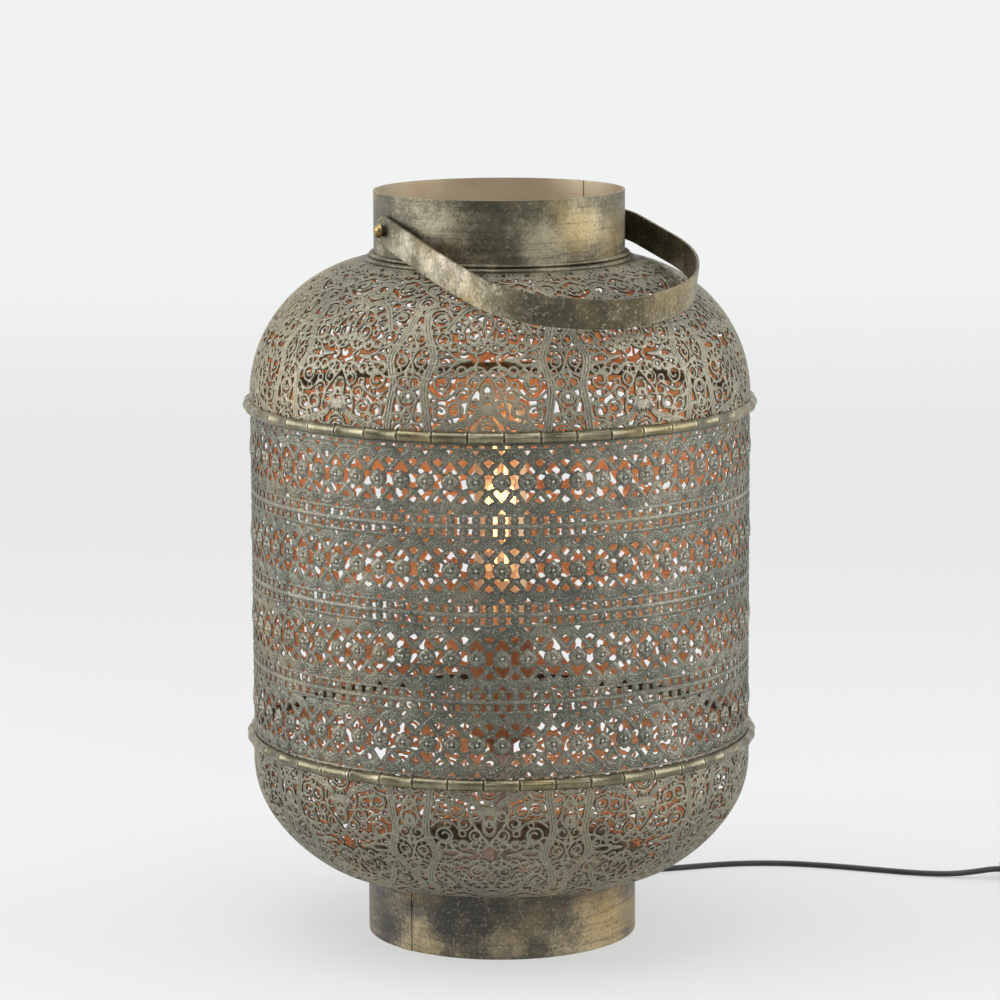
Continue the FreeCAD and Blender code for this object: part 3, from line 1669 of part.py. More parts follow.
def make_plug_sleeve():
    length = dim("plug_sleeve_length")
    body = turned_body(
        "plug_sleeve",
        [
            (zero, zero),
            (dim("relief_root_radius"), zero),
            (dim("relief_tip_radius"), length),
            (zero, length),
        ],
    )
    body.Placement = Placement(Vector(), Rotation(Vector(1, 0, 0), -90))
    bind_base(body, "x", dim("plug_x"))
    bind_base(body, "y", plug_rear)
    bind_base(body, "z", plug_axis)
    return body


def make_cord_stretch(name, points):
    """A stretch of the flat cord along points on the floor."""
    edges, radii = bent_path(points)
    print("%s: radii %s mm" % (name, " ".join("%.0f" % radius for radius in radii)))
    return swept(name, edges, None)


# ---------------------------------------------------------------- the lamp

lead, lead_length = make_cord_stretch("cord_lead", lead_points())
link, link_length = make_cord_stretch("cord_link", link_points())
coil, coil_length = make_cord_coil()
tail, tail_length = make_cord_stretch("cord_tail", tail_points())
through_switch = (dim("switch_length") + dim("switch_neck_length") * 2).number
through_relief = dim("relief_length").number
whole = through_relief + lead_length + through_switch + link_length + coil_length + tail_length
print("cord from the foot to the plug: %.0f mm" % whole)

pieces = [
    make_foot_ring(),
    make_base_plate(),
    make_bowl(),
    make_bead_band("lower_bead_band", dim("lower_joint_height")),
    make_drum(),
    make_bead_band("upper_bead_band", upper_joint),
    make_dome(),
    make_neck_ring(),
    make_collar(),
    on_both_sides("pivot_screws", make_pivot_screw),
    on_both_sides("pivot_spacers", make_pivot_spacer),
    on_both_sides("pivot_washers", make_pivot_washer),
    on_both_sides("pivot_nuts", make_pivot_nut),
    make_handle(),
    make_stem_pipe(),
    make_stem_nuts(),
    make_stem_washers(),
    make_holder_cap(),
    make_holder_body(),
    make_holder_block(),
    make_holder_screw_shell(),
    make_holder_contact(),
    make_holder_terminals(),
    make_bulb_contact(),
    make_bulb_insulator(),
    make_bulb_cap(),
    make_bulb_glass(),
    make_bulb_mount(),
    make_bulb_filaments(),
    make_bulb_supports(),
    make_strain_relief(),
    make_inner_lead(),
    make_lead_cores(),
    lead,
    link,
    coil,
    tail,
    make_switch_base(),
    make_switch_cover(),
    make_switch_screws(),
    make_switch_contacts(),
    make_switch_rocker(),
    make_plug_sleeve(),
    make_plug_body(),
    make_plug_pins(),
]

document.recompute()
for thing in document.Objects:
    if "Invalid" in thing.State or "Error" in thing.State:
        raise RuntimeError("%s did not compute: %s" % (thing.Name, thing.State))

os.makedirs("parts", exist_ok=True)
for piece in pieces:
    shape = piece.Shape
    if shape.isNull() or not shape.isValid() or shape.Volume <= 0:
        raise RuntimeError("%s has no sound shape" % piece.Label)
    shape.exportStep("parts/%s.step" % piece.Label)
print("%d pieces written" % len(pieces))
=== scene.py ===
# Pierced sheet lantern table lamp: finishes, pressed and pierced sheets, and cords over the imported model.
import json
import math

import bpy
import numpy as np
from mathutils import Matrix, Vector


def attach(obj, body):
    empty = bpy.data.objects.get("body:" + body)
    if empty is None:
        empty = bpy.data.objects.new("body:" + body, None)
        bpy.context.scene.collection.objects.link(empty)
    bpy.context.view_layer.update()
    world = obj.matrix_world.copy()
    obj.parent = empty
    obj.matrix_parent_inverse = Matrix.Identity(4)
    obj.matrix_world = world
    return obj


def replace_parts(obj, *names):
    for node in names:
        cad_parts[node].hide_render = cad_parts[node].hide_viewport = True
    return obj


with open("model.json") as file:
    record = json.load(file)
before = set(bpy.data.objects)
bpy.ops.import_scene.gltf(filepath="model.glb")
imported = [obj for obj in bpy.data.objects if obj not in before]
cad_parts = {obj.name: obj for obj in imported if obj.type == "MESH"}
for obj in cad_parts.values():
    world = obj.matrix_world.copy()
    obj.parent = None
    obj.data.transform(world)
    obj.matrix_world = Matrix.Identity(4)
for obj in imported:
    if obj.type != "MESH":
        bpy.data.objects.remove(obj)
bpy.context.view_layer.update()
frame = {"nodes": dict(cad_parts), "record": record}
nodes = frame["nodes"]
scene = bpy.context.scene
mm = 0.001
print("frame loaded:", len(nodes), "nodes")

camera = {"focal": 152.8, "place": (0.0, -2.5424, 0.6913), "down": 9.511, "roll": -0.259, "slide": -0.0004}

lens = bpy.data.cameras.new("photographer")
lens.lens, lens.sensor_width, lens.shift_x = camera["focal"], 36.0, camera["slide"]
eye = bpy.data.objects.new("photographer", lens)
eye.rotation_mode = "ZYX"  # roll first, then the tilt
eye.rotation_euler = (math.radians(90 - camera["down"]), 0, math.radians(camera["roll"]))
eye.location = camera["place"]
scene.collection.objects.link(eye)
scene.camera = eye
scene.view_settings.view_transform = "Standard"


def put(tree, kind, wires=None, **settings):  # one shader node, its sockets set or wired
    node = tree.nodes.new("ShaderNode" + kind)
    for field, value in settings.items():
        setattr(node, field, value)
    for socket, value in (wires or {}).items():
        if isinstance(value, bpy.types.NodeSocket):
            tree.links.new(value, node.inputs[socket])
        else:
            node.inputs[socket].default_value = value
    return node


def finish(name):  # a fresh material with its tree and shader
    paint = bpy.data.materials.new(name)
    paint.use_nodes = True
    return paint, paint.node_tree, paint.node_tree.nodes["Principled BSDF"]


def ramp(tree, value, stops):
    node = put(tree, "ValToRGB", {"Fac": value})
    band = node.color_ramp.elements
    while len(band) < len(stops):
        band.new(0.5)
    for element, (place, colour) in zip(band, stops):
        element.position = place
        element.color = (*colour, 1.0)
    return node.outputs["Color"]


def blend(tree, share, under, over, way="MIX"):  # one colour over another
    node = tree.nodes.new("ShaderNodeMix")
    node.data_type, node.blend_type = "RGBA", way
    for place, value in ((0, share), (6, under), (7, over)):
        if isinstance(value, bpy.types.NodeSocket):
            tree.links.new(value, node.inputs[place])
        else:
            node.inputs[place].default_value = value if place == 0 else (*value, 1.0)
    return node.outputs[2]


def number(tree, way, first, second):
    node = tree.nodes.new("ShaderNodeMath")
    node.operation, node.use_clamp = way, way != "MULTIPLY"
    for place, value in enumerate((first, second)):
        if isinstance(value, bpy.types.NodeSocket):
            tree.links.new(value, node.inputs[place])
        else:
            node.inputs[place].default_value = value
    return node.outputs[0]


def times(tree, first, second):
    return number(tree, "MULTIPLY", first, second)


def spread(tree, value, span=(0, 1), reach=(0, 1), soft=False):  # a value over one span turned into another
    node = put(tree, "MapRange", {"Value": value, "From Min": span[0], "From Max": span[1],
                                  "To Min": reach[0], "To Max": reach[1]})
    if soft:
        node.interpolation_type = "SMOOTHSTEP"
    return node.outputs["Result"]


def spotted(tree, where, place, radius, lift):  # most at a place, and nothing past the radius
    apart = put(tree, "VectorMath", {0: where, 1: place}, operation="DISTANCE").outputs["Value"]
    return spread(tree, apart, (radius * 0.2, radius), (lift, 0.0), soft=True)


studio = {
    "sky": (0.885, 0.9, 0.895), "far": (0.9, 0.915, 0.905), "table": (0.758, 0.774, 0.772),
    "sweep": (0.785, 0.798, 0.8), "horizon": (0.0, 0.16), "floorColour": (0.74, 0.75, 0.74),
    "distance": (0.3, 3.8), "shown": (0.62, 0.95),  # m, share of the floor's own light
    "facing": (-0.8, 0.5), "lit": (0.22, 1.0625), "mirrored": (0.3, 1.0),  # from before the object to behind it
    "lamps": [  # place, aim, size, watts
        ((-1.9, -0.2, 0.9), (0, 0, 0.22), 1.7, 34.0),
        ((1.9, -0.3, 0.9), (0, 0, 0.22), 1.7, 30.0),
        ((-0.4, -0.5, 2.2), (0, 0, 0.2), 1.6, 20.0),
        ((0.7, -2.4, 1.6), (0, 0, 0.25), 1.2, 12.0),
    ],
    "bulbLight": (0.34, (1.0, 0.78, 0.56), (0, 0, 0.262), 0.012),  # watts, colour, place, radius
}


def lightStudio():
    world = bpy.data.worlds.new("studio")
    scene.world = world
    world.use_nodes = True
    tree = world.node_tree
    tree.nodes.clear()
    way = put(tree, "TexCoord")
    split = put(tree, "SeparateXYZ", {"Vector": way.outputs["Generated"]})
    rays = put(tree, "LightPath").outputs
    seen = number(tree, "ADD", rays["Is Camera Ray"], rays["Is Transmission Ray"])
    lit, mirrored = (spread(tree, split.outputs["Y"], studio["facing"], studio[k]) for k in ("lit", "mirrored"))
    strength = put(tree, "Mix", {0: rays["Is Glossy Ray"], 2: lit, 3: mirrored})
    strength = put(tree, "Mix", {0: seen, 2: strength.outputs[0], 3: 1.0})
    sky = put(tree, "Background", {"Color": (*studio["sky"], 1), "Strength": strength.outputs[0]})
    out = put(tree, "OutputWorld")
    tree.links.new(sky.outputs[0], out.inputs[0])
    for place, aim, size, watts in studio["lamps"]:
        light = bpy.data.lights.new("softbox", "AREA")
        light.size, light.energy = size, watts
        lamp = bpy.data.objects.new("softbox", light)
        lamp.location = place
        lamp.rotation_euler = (Vector(aim) - Vector(place)).to_track_quat("-Z", "Y").to_euler()
        scene.collection.objects.link(lamp)
    watts, colour, place, size = studio["bulbLight"]
    light = bpy.data.lights.new("bulbLight", "POINT")
    light.energy, light.color, light.shadow_soft_size = watts, colour, size
    lamp = bpy.data.objects.new("bulbLight", light)
    lamp.location = place
    scene.collection.objects.link(lamp)


def layFloor():
    half = 14.0
    mesh = bpy.data.meshes.new("floor")
    mesh.from_pydata([(-half, -4, 0), (half, -4, 0), (half, half, 0), (-half, half, 0)], [], [(0, 1, 2, 3)])
    floor = bpy.data.objects.new("floor", mesh)
    scene.collection.objects.link(floor)
    paint, tree, shader = finish("paleFloor")
    shader.inputs["Base Color"].default_value = (*studio["floorColour"], 1)
    shader.inputs["Roughness"].default_value = 0.6
    shader.inputs["Specular IOR Level"].default_value = 0.2
    spot = put(tree, "SeparateXYZ", {"Vector": put(tree, "TexCoord").outputs["Object"]})
    deep = spread(tree, spot.outputs["Y"], studio["horizon"], soft=True)
    shown = blend(tree, deep, studio["table"], studio["sweep"])
    away = spread(tree, spot.outputs["Y"], studio["distance"], soft=True)
    shown = blend(tree, away, shown, studio["far"])
    share = spread(tree, away, reach=studio["shown"])
    glow = put(tree, "Emission", {"Color": shown, "Strength": 1.0})
    rays = put(tree, "LightPath").outputs
    seen = number(tree, "ADD", rays["Is Camera Ray"], rays["Is Glossy Ray"])
    seen = number(tree, "ADD", seen, rays["Is Transmission Ray"])
    mix = put(tree, "MixShader", {0: times(tree, seen, share), 1: shader.outputs[0], 2: glow.outputs[0]})
    tree.links.new(mix.outputs[0], tree.nodes["Material Output"].inputs["Surface"])
    mesh.materials.append(paint)


lightStudio()
layFloor()
print("studio ready")


def agedMetal(name, look):  # patina in patches, streaks and specks; a painted highlight with wear where the pressing stands up, painted shade where it lies low
    paint, tree, shader = finish(name)
    where = put(tree, "TexCoord").outputs["Object"]
    streaked = put(tree, "Mapping", {"Vector": where, "Scale": look["streak"]}).outputs[0]
    patches = put(tree, "TexNoise", {"Vector": where, "Scale": look["patch"], "Detail": 7.0,
                                     "Roughness": 0.62})
    specks = put(tree, "TexNoise", {"Vector": where, "Scale": look["speck"], "Detail": 3.0, "Roughness": 0.7})
    lines = put(tree, "TexNoise", {"Vector": streaked, "Scale": 1.0, "Detail": 6.0, "Roughness": 0.7})
    golden = put(tree, "TexNoise", {"Vector": where, "Scale": look["patch"] * 0.45, "Detail": 4.0})
    tone = patches.outputs["Fac"]
    for spot in look.get("patches and painted light", []):  # patches that stand where the real ones do, with painted light and shade among them: paler on the lit sides, darker on the front
        tone = put(tree, "Math", {0: tone, 1: spotted(tree, where, *spot)}, operation="ADD").outputs[0]
    grit = put(tree, "Math", {0: specks.outputs["Fac"], 1: 0.5}, operation="SUBTRACT").outputs[0]
    grit = times(tree, grit, look.get("grit", 0.0))
    tone = put(tree, "Math", {0: tone, 1: grit}, operation="ADD").outputs[0]
    colour = ramp(tree, tone, look["tones"])
    low = look["goldFrom"]
    share = ramp(tree, golden.outputs["Fac"], [(low, (0, 0, 0)), (low + 0.12, (1, 1, 1))])
    share = times(tree, share, look["goldShare"])
    for spot in look.get("gold spots", []):
        lift = times(tree, spotted(tree, where, *spot), patches.outputs["Fac"])
        share = number(tree, "ADD", share, lift)
    colour = blend(tree, share, colour, look["gold"])
    dark = ramp(tree, lines.outputs["Fac"], [(0.36, (1, 1, 1)), (0.5, (0, 0, 0))])
    colour = blend(tree, times(tree, dark, look["streaks"]), colour, look["dark"])
    dots = ramp(tree, specks.outputs["Fac"], [(0.33, (1, 1, 1)), (0.43, (0, 0, 0))])
    colour = blend(tree, times(tree, dots, look["specks"]), colour, look["dark"])
    pale = ramp(tree, specks.outputs["Fac"], [(0.58, (0, 0, 0)), (0.72, (1, 1, 1))])
    colour = blend(tree, times(tree, pale, look["specks"]), colour, look["pale"])
    if "inside" in look:  # within this radius of the axis the sheet shows its other face
        flat = put(tree, "SeparateXYZ", {"Vector": where})
        level = put(tree, "CombineXYZ", {"X": flat.outputs["X"], "Y": flat.outputs["Y"]})
        radius = put(tree, "VectorMath", {0: level.outputs[0]}, operation="LENGTH").outputs["Value"]
        within = number(tree, "LESS_THAN", radius, look["inside"][0])
        cloud = ramp(tree, golden.outputs["Fac"], [(0.35, look["inside"][1]), (0.65, look["inside"][2])])
        colour = blend(tree, within, colour, cloud)
    if "wearAndHighlight" in look:  # the pressed sheets carry how far they stand up, from 0 to 1
        height = put(tree, "Attribute", attribute_name="height").outputs["Fac"]
        # painted highlight with some wear: the crests of the pressing turn paler
        crest = ramp(tree, height, [(look["crest"], (0, 0, 0)), (0.97, (1, 1, 1))])
        # painted shade: darker where the pressing lies low and at the edges of its strands
        lowShade = ramp(tree, height, [(0.0, (1, 1, 1)), (0.35, (0, 0, 0))])
        colour = blend(tree, times(tree, lowShade, look["sunkShade"]), colour, look["dark"])
        colour = blend(tree, times(tree, crest, look["wearAndHighlight"]), colour, look["pale"])
    tree.links.new(colour, shader.inputs["Base Color"])
    rough = spread(tree, patches.outputs["Fac"], (0.3, 0.7), look["rough"])
    tree.links.new(rough, shader.inputs["Roughness"])
    shader.inputs["Metallic"].default_value = look["metal"]
    marks = number(tree, "ADD", times(tree, lines.outputs["Fac"], 0.5), times(tree, specks.outputs["Fac"], 0.5))
    bump = put(tree, "Bump", {"Height": marks, "Strength": look["bump"], "Distance": 0.0006})
    tree.links.new(bump.outputs[0], shader.inputs["Normal"])
    return paint


sheetLook = {
    "tones": [(0.3, (0.1, 0.105, 0.088)), (0.5, (0.19, 0.185, 0.145)), (0.72, (0.33, 0.305, 0.23))],
    "patch": 30.0, "speck": 820.0, "streak": (160, 160, 160), "gold": (0.3, 0.22, 0.11), "goldFrom": 0.54,
    "goldShare": 0.3, "dark": (0.035, 0.042, 0.036), "pale": (0.82, 0.8, 0.68), "streaks": 0.3,
    "specks": 0.95, "wearAndHighlight": 0.6, "crest": 0.74, "sunkShade": 0.4, "rough": (0.36, 0.54), "metal": 0.7, "bump": 0.8,
}
filigreeLook = {
    **sheetLook,
    "tones": [(0.3, (0.075, 0.075, 0.06)), (0.5, (0.135, 0.125, 0.092)), (0.72, (0.25, 0.22, 0.155))],
    "patch": 24.0, "specks": 0.45, "wearAndHighlight": 0.22, "crest": 0.5, "sunkShade": 0.75, "bump": 0.5,
    "pale": (0.72, 0.67, 0.51),
}
insideLook = {
    "tones": [(0.3, (0.5, 0.24, 0.115)), (0.5, (0.66, 0.335, 0.165)), (0.75, (0.78, 0.45, 0.24))],
    "patch": 22.0, "speck": 400.0, "streak": (30, 30, 90), "gold": (0.8, 0.54, 0.3), "goldFrom": 0.52,
    "goldShare": 0.4, "dark": (0.3, 0.14, 0.07), "pale": (0.85, 0.6, 0.38), "streaks": 0.2,
    "specks": 0.2, "rough": (0.45, 0.6), "metal": 0.3, "bump": 0.2,
}
collarLook = {
    "tones": [(0.34, (0.07, 0.064, 0.043)), (0.52, (0.135, 0.12, 0.078)), (0.74, (0.4, 0.36, 0.25))],
    "patch": 36.0, "speck": 560.0, "streak": (14, 14, 420), "gold": (0.4, 0.29, 0.11), "goldFrom": 0.56,
    "goldShare": 0.45, "dark": (0.04, 0.036, 0.03), "pale": (0.5, 0.46, 0.33), "streaks": 0.45,
    "specks": 0.5, "rough": (0.36, 0.56), "metal": 0.7, "bump": 0.35, "grit": 0.24,
    "inside": (0.0751, (0.38, 0.31, 0.21), (0.5, 0.44, 0.32)),
    # patches with painted light and shade: paler towards the sides, darker at the front
    "patches and painted light": [
        ((-0.034, -0.0675, 0.436), 0.024, 0.1), ((0.019, -0.073, 0.445), 0.022, 0.1),
        ((0.026, -0.071, 0.427), 0.02, 0.12), ((0.048, -0.0585, 0.44), 0.024, 0.1),
        ((-0.012, -0.0746, 0.446), 0.024, -0.08), ((0.0, -0.0756, 0.425), 0.022, -0.06),
        ((-0.062, -0.0435, 0.43), 0.03, -0.06),
    ],
    "gold spots": [((0.047, -0.0592, 0.436), 0.022, 1.0), ((0.068, -0.033, 0.43), 0.026, 0.7)],
}
footLook = {
    "tones": [(0.32, (0.06, 0.057, 0.05)), (0.5, (0.135, 0.118, 0.086)), (0.74, (0.42, 0.35, 0.22))],
    "patch": 42.0, "speck": 560.0, "streak": (16, 16, 300), "gold": (0.42, 0.29, 0.12), "goldFrom": 0.54,
    "goldShare": 0.4, "dark": (0.04, 0.04, 0.038), "pale": (0.54, 0.46, 0.3), "streaks": 0.5,
    "specks": 0.55, "rough": (0.38, 0.58), "metal": 0.66, "bump": 0.4, "grit": 0.34,
    # patches with painted light and shade: paler towards the sides, darker at the front and top
    "patches and painted light": [
        ((-0.049, -0.0657, 0.006), 0.024, 0.14), ((-0.052, -0.0634, 0.022), 0.012, 0.1),
        ((0.045, -0.0685, 0.012), 0.034, 0.12), ((0.066, -0.0486, 0.01), 0.026, 0.08),
        ((-0.03, -0.076, 0.036), 0.036, -0.12), ((0.01, -0.0813, 0.036), 0.036, -0.12),
        ((-0.057, -0.059, 0.038), 0.022, -0.08), ((0.05, -0.065, 0.042), 0.03, -0.1),
    ],
    "gold spots": [((0.06, -0.056, 0.016), 0.034, 0.5), ((-0.047, -0.067, 0.004), 0.018, 0.4)],
}
strapLook = {
    "tones": [(0.32, (0.08, 0.07, 0.045)), (0.52, (0.18, 0.158, 0.1)), (0.76, (0.58, 0.52, 0.4))],
    "patch": 34.0, "speck": 480.0, "streak": (60, 60, 60), "gold": (0.36, 0.27, 0.11), "goldFrom": 0.54,
    "goldShare": 0.45, "dark": (0.035, 0.03, 0.022), "pale": (0.66, 0.58, 0.45), "streaks": 0.4,
    "specks": 0.5, "rough": (0.32, 0.5), "metal": 0.78, "bump": 0.3, "grit": 0.3,
    # patches with painted highlight and shade: pale at the left end, darker in the middle where the front
    # reflection falls
    "patches and painted light": [
        ((-0.052, -0.06, 0.425), 0.026, 0.13), ((-0.036, -0.094, 0.415), 0.03, 0.17),
        ((-0.02, -0.12, 0.407), 0.024, 0.1), ((0.03, -0.15, 0.395), 0.05, -0.13),
        ((0.06, -0.13, 0.4), 0.04, -0.1), ((0.1, -0.09, 0.41), 0.03, 0.04),
    ],
    "gold spots": [((0.085, -0.11, 0.405), 0.04, 0.5)],
}
beadLook = {
    "tones": [(0.3, (0.07, 0.064, 0.04)), (0.5, (0.15, 0.135, 0.083)), (0.72, (0.34, 0.3, 0.2))],
    "patch": 45.0, "speck": 600.0, "streak": (60, 60, 300), "gold": (0.36, 0.27, 0.1), "goldFrom": 0.54,
    "goldShare": 0.35, "dark": (0.03, 0.027, 0.02), "pale": (0.6, 0.55, 0.4), "streaks": 0.4,
    "specks": 0.4, "wearAndHighlight": 0.25, "crest": 0.45, "sunkShade": 0.75, "rough": (0.22, 0.4), "metal": 0.88,
    "bump": 0.25,
}
holderLook = {
    "tones": [(0.3, (0.2, 0.085, 0.035)), (0.5, (0.34, 0.155, 0.065)), (0.75, (0.46, 0.24, 0.12))],
    "patch": 60.0, "speck": 500.0, "streak": (40, 40, 40), "gold": (0.4, 0.25, 0.1), "goldFrom": 0.55,
    "goldShare": 0.3, "dark": (0.05, 0.02, 0.012), "pale": (0.5, 0.32, 0.2), "streaks": 0.3,
    "specks": 0.3, "rough": (0.35, 0.5), "metal": 0.45, "bump": 0.2,
}
brassLook = {
    "tones": [(0.3, (0.16, 0.11, 0.045)), (0.5, (0.3, 0.21, 0.09)), (0.72, (0.46, 0.35, 0.16))],
    "patch": 160.0, "speck": 900.0, "streak": (200, 200, 200), "gold": (0.42, 0.3, 0.12), "goldFrom": 0.5,
    "goldShare": 0.4, "dark": (0.06, 0.045, 0.025), "pale": (0.6, 0.48, 0.26), "streaks": 0.3,
    "specks": 0.3, "rough": (0.25, 0.4), "metal": 0.95, "bump": 0.2,
}
platedLook = {
    "tones": [(0.3, (0.36, 0.36, 0.34)), (0.5, (0.5, 0.5, 0.48)), (0.72, (0.6, 0.6, 0.58))],
    "patch": 120.0, "speck": 900.0, "streak": (100, 100, 600), "gold": (0.55, 0.52, 0.42), "goldFrom": 0.6,
    "goldShare": 0.3, "dark": (0.2, 0.2, 0.19), "pale": (0.75, 0.75, 0.73), "streaks": 0.3,
    "specks": 0.25, "rough": (0.28, 0.42), "metal": 0.95, "bump": 0.15,
}
paints = {
    "sheet": agedMetal("pressedSheet", sheetLook), "filigree": agedMetal("filigreeSheet", filigreeLook),
    "inside": agedMetal("copperInside", insideLook), "collar": agedMetal("collarBrass", collarLook),
    "foot": agedMetal("footBronze", footLook), "strap": agedMetal("strapBrass", strapLook),
    "bead": agedMetal("beadBrass", beadLook), "brass": agedMetal("screwBrass", brassLook),
    "plated": agedMetal("zincPlate", platedLook), "holder": agedMetal("holderCopper", holderLook),
}


def moulded(name, look):  # plastics, rubber and ceramic: a fine grain and a slight change of tone
    paint, tree, shader = finish(name)
    where = put(tree, "TexCoord").outputs["Object"]
    grain = put(tree, "TexNoise", {"Vector": where, "Scale": look["grain"], "Detail": 3.0})
    cloud = put(tree, "TexNoise", {"Vector": where, "Scale": 60.0, "Detail": 2.0})
    tree.links.new(ramp(tree, cloud.outputs["Fac"], [(0.35, look["colour"]), (0.7, look["wearAndHighlight"])]),
                   shader.inputs["Base Color"])
    rough = spread(tree, grain.outputs["Fac"], reach=look["rough"])
    tree.links.new(rough, shader.inputs["Roughness"])
    bump = put(tree, "Bump", {"Height": grain.outputs["Fac"], "Strength": look["bump"], "Distance": 0.0002})
    tree.links.new(bump.outputs[0], shader.inputs["Normal"])
    return paint


for slot, name, colour, wearAndHighlight, grain, rough, bump in (
    ("black", "blackThermoset", (0.016, 0.016, 0.016), (0.03, 0.03, 0.03), 1500.0, (0.3, 0.45), 0.2),
    ("rubber", "blackMoulding", (0.014, 0.014, 0.014), (0.026, 0.026, 0.026), 1100.0, (0.5, 0.65), 0.3),
    ("cord", "blackFlex", (0.012, 0.012, 0.012), (0.024, 0.024, 0.024), 900.0, (0.38, 0.5), 0.25),
    ("ceramic", "whiteGlaze", (0.72, 0.7, 0.64), (0.8, 0.78, 0.73), 300.0, (0.12, 0.25), 0.1),
    ("black_glass", "blackVitrite", (0.02, 0.02, 0.03), (0.035, 0.035, 0.045), 400.0, (0.08, 0.18), 0.05),
):
    paints[slot] = moulded(name, {"colour": colour, "wearAndHighlight": wearAndHighlight, "grain": grain, "rough": rough, "bump": bump})

def bulbGlass():  # thin amber glass, brightest along the lit filaments
    paint, tree, shader = finish("amberGlass")
    tree.nodes.remove(shader)
    look = {
        "tint": (0.93, 0.8, 0.6), "glow": (1.0, 0.76, 0.54), "ember": (1.0, 0.36, 0.12),
        "level": (0.035, 0.115), "filament": (0.0033, -0.002, 0), "reach": (0.0125, 0.0185),
        "low": (0.17, 0.23), "high": (0.298, 0.33),
    }
    clear = put(tree, "BsdfTransparent", {"Color": (*look["tint"], 1)})
    gloss = put(tree, "BsdfGlossy", {"Color": (1, 1, 1, 1), "Roughness": 0.03})
    edge = put(tree, "Fresnel", {"IOR": 1.45})
    glass = put(tree, "MixShader", {0: edge.outputs[0], 1: clear.outputs[0], 2: gloss.outputs[0]})
    spot = put(tree, "SeparateXYZ", {"Vector": put(tree, "TexCoord").outputs["Object"]})
    flat = put(tree, "CombineXYZ", {"X": spot.outputs["X"], "Y": spot.outputs["Y"]}).outputs[0]
    away = put(tree, "VectorMath", {0: flat, 1: look["filament"]}, operation="DISTANCE").outputs["Value"]
    around = spread(tree, away, look["reach"], (1.0, 0.35))
    low = spread(tree, spot.outputs["Z"], look["low"])
    high = spread(tree, spot.outputs["Z"], look["high"], (1.0, 0.3))
    level = times(tree, times(tree, low, high), around)
    level = spread(tree, level, reach=look["level"])
    dim, bright = look["level"]
    hue = ramp(tree, level, [(dim, look["ember"]), (bright * 0.75, look["glow"])])
    light = put(tree, "Emission", {"Color": hue, "Strength": level})
    both = put(tree, "AddShader", {0: glass.outputs[0], 1: light.outputs[0]})
    tree.links.new(both.outputs[0], tree.nodes["Material Output"].inputs["Surface"])
    return paint


def litFilament():
    paint, tree, shader = finish("litFilament")
    where = put(tree, "TexCoord").outputs["Object"]
    beads = put(tree, "TexNoise", {"Vector": where, "Scale": 500.0, "Detail": 1.0})
    tree.links.new(ramp(tree, beads.outputs["Fac"], [(0.3, (1.0, 0.66, 0.36)), (0.7, (1.0, 0.8, 0.55))]),
                   shader.inputs["Emission Color"])
    shader.inputs["Base Color"].default_value = (0.9, 0.6, 0.25, 1)
    shader.inputs["Emission Strength"].default_value = 4.0
    return paint


paints["glass"] = bulbGlass()
paints["filament"] = litFilament()

slotOf = {row["node"]: row["material_slot"] for row in frame["record"]["subparts"]}
for node, part in nodes.items():
    part.data.materials.clear()
    part.data.materials.append(paints[slotOf[node]])
print("finishes on", len(nodes), "nodes")

flex = {"width": 5.4, "thickness": 3.2, "floor": 1.7, "upper": 5.4}
lead = {  # from the foot to the switch, mm
    "points": [(48.82, 91.83, 13.0), (53.52, 100.66, 13.0), (61.8, 111.0, 10.2), (76.0, 118.8, 5.0),
               (95.0, 122.0, 2.2), (118.0, 130.5, 1.7), (148.0, 139.5, 1.7), (180.0, 140.8, 1.7),
               (212.0, 133.0, 1.7), (240.0, 122.5, 1.7), (266.0, 113.0, 1.7), (288.0, 107.5, 2.2),
               (305.0, 106.0, 4.4), (314.5, 106.0, 6.0), (320.0, 106.0, 6.0)],
    "length": 0.293,
}
coil = {"start": (431.0, 106.0), "outer": 39.85, "step": 2.95, "beside": 23.625, "climb": 20.675,
        "level": 5, "perHalf": 6}
rest = {  # from the switch to the coil, and from the coil to the plug
    "before": [(392.0, 106.0, 6.0), (399.0, 106.0, 6.0), (408.0, 106.0, 3.9), (417.0, 106.0, 1.7),
               (425.0, 106.0, 1.7)],
    "after": [(412.0, 23.35, 5.4), (395.0, 19.35, 1.7), (380.0, 9.35, 1.7), (371.0, -5.65, 1.7),
              (366.0, -22.5, 2.95), (366.0, -38.0, 6.95), (366.0, -50.0, 6.95)],
    "length": 1.437,
}


def flatSection():  # two flats and two round edges
    half, edge, steps = flex["width"] / 2, flex["thickness"] / 2, 8
    points = []
    for side in (1, -1):
        for k in range(steps + 1):
            turn = math.pi * k / steps - math.pi / 2
            points.append((side * (half - edge + edge * math.cos(turn)), side * edge * math.sin(turn)))
    shape = bpy.data.curves.new("flatSection", "CURVE")
    ring = shape.splines.new("POLY")
    ring.points.add(len(points) - 1)
    for spot, (x, y) in zip(ring.points, points):
        spot.co = (x * mm, y * mm, 0, 1)
    ring.use_cyclic_u = True
    piece = bpy.data.objects.new("flatSection", shape)
    scene.collection.objects.link(piece)
    piece.hide_render = piece.hide_viewport = True
    return piece


def smoothCord(name, points, section=None, radius=0.0):
    shape = bpy.data.curves.new(name, "CURVE")
    shape.dimensions, shape.twist_mode, shape.use_fill_caps = "3D", "Z_UP", True
    if section:
        shape.bevel_mode, shape.bevel_object = "OBJECT", section
    else:
        shape.bevel_depth, shape.bevel_resolution = radius, 4
    line = shape.splines.new("NURBS")
    line.points.add(len(points) - 1)
    for spot, place in zip(line.points, points):
        spot.co = (*(v * mm for v in place), 1)
    line.order_u, line.use_endpoint_u, line.resolution_u = 3, True, 5
    piece = bpy.data.objects.new(name, shape)
    shape.materials.append(paints["cord"])
    scene.collection.objects.link(piece)
    return piece


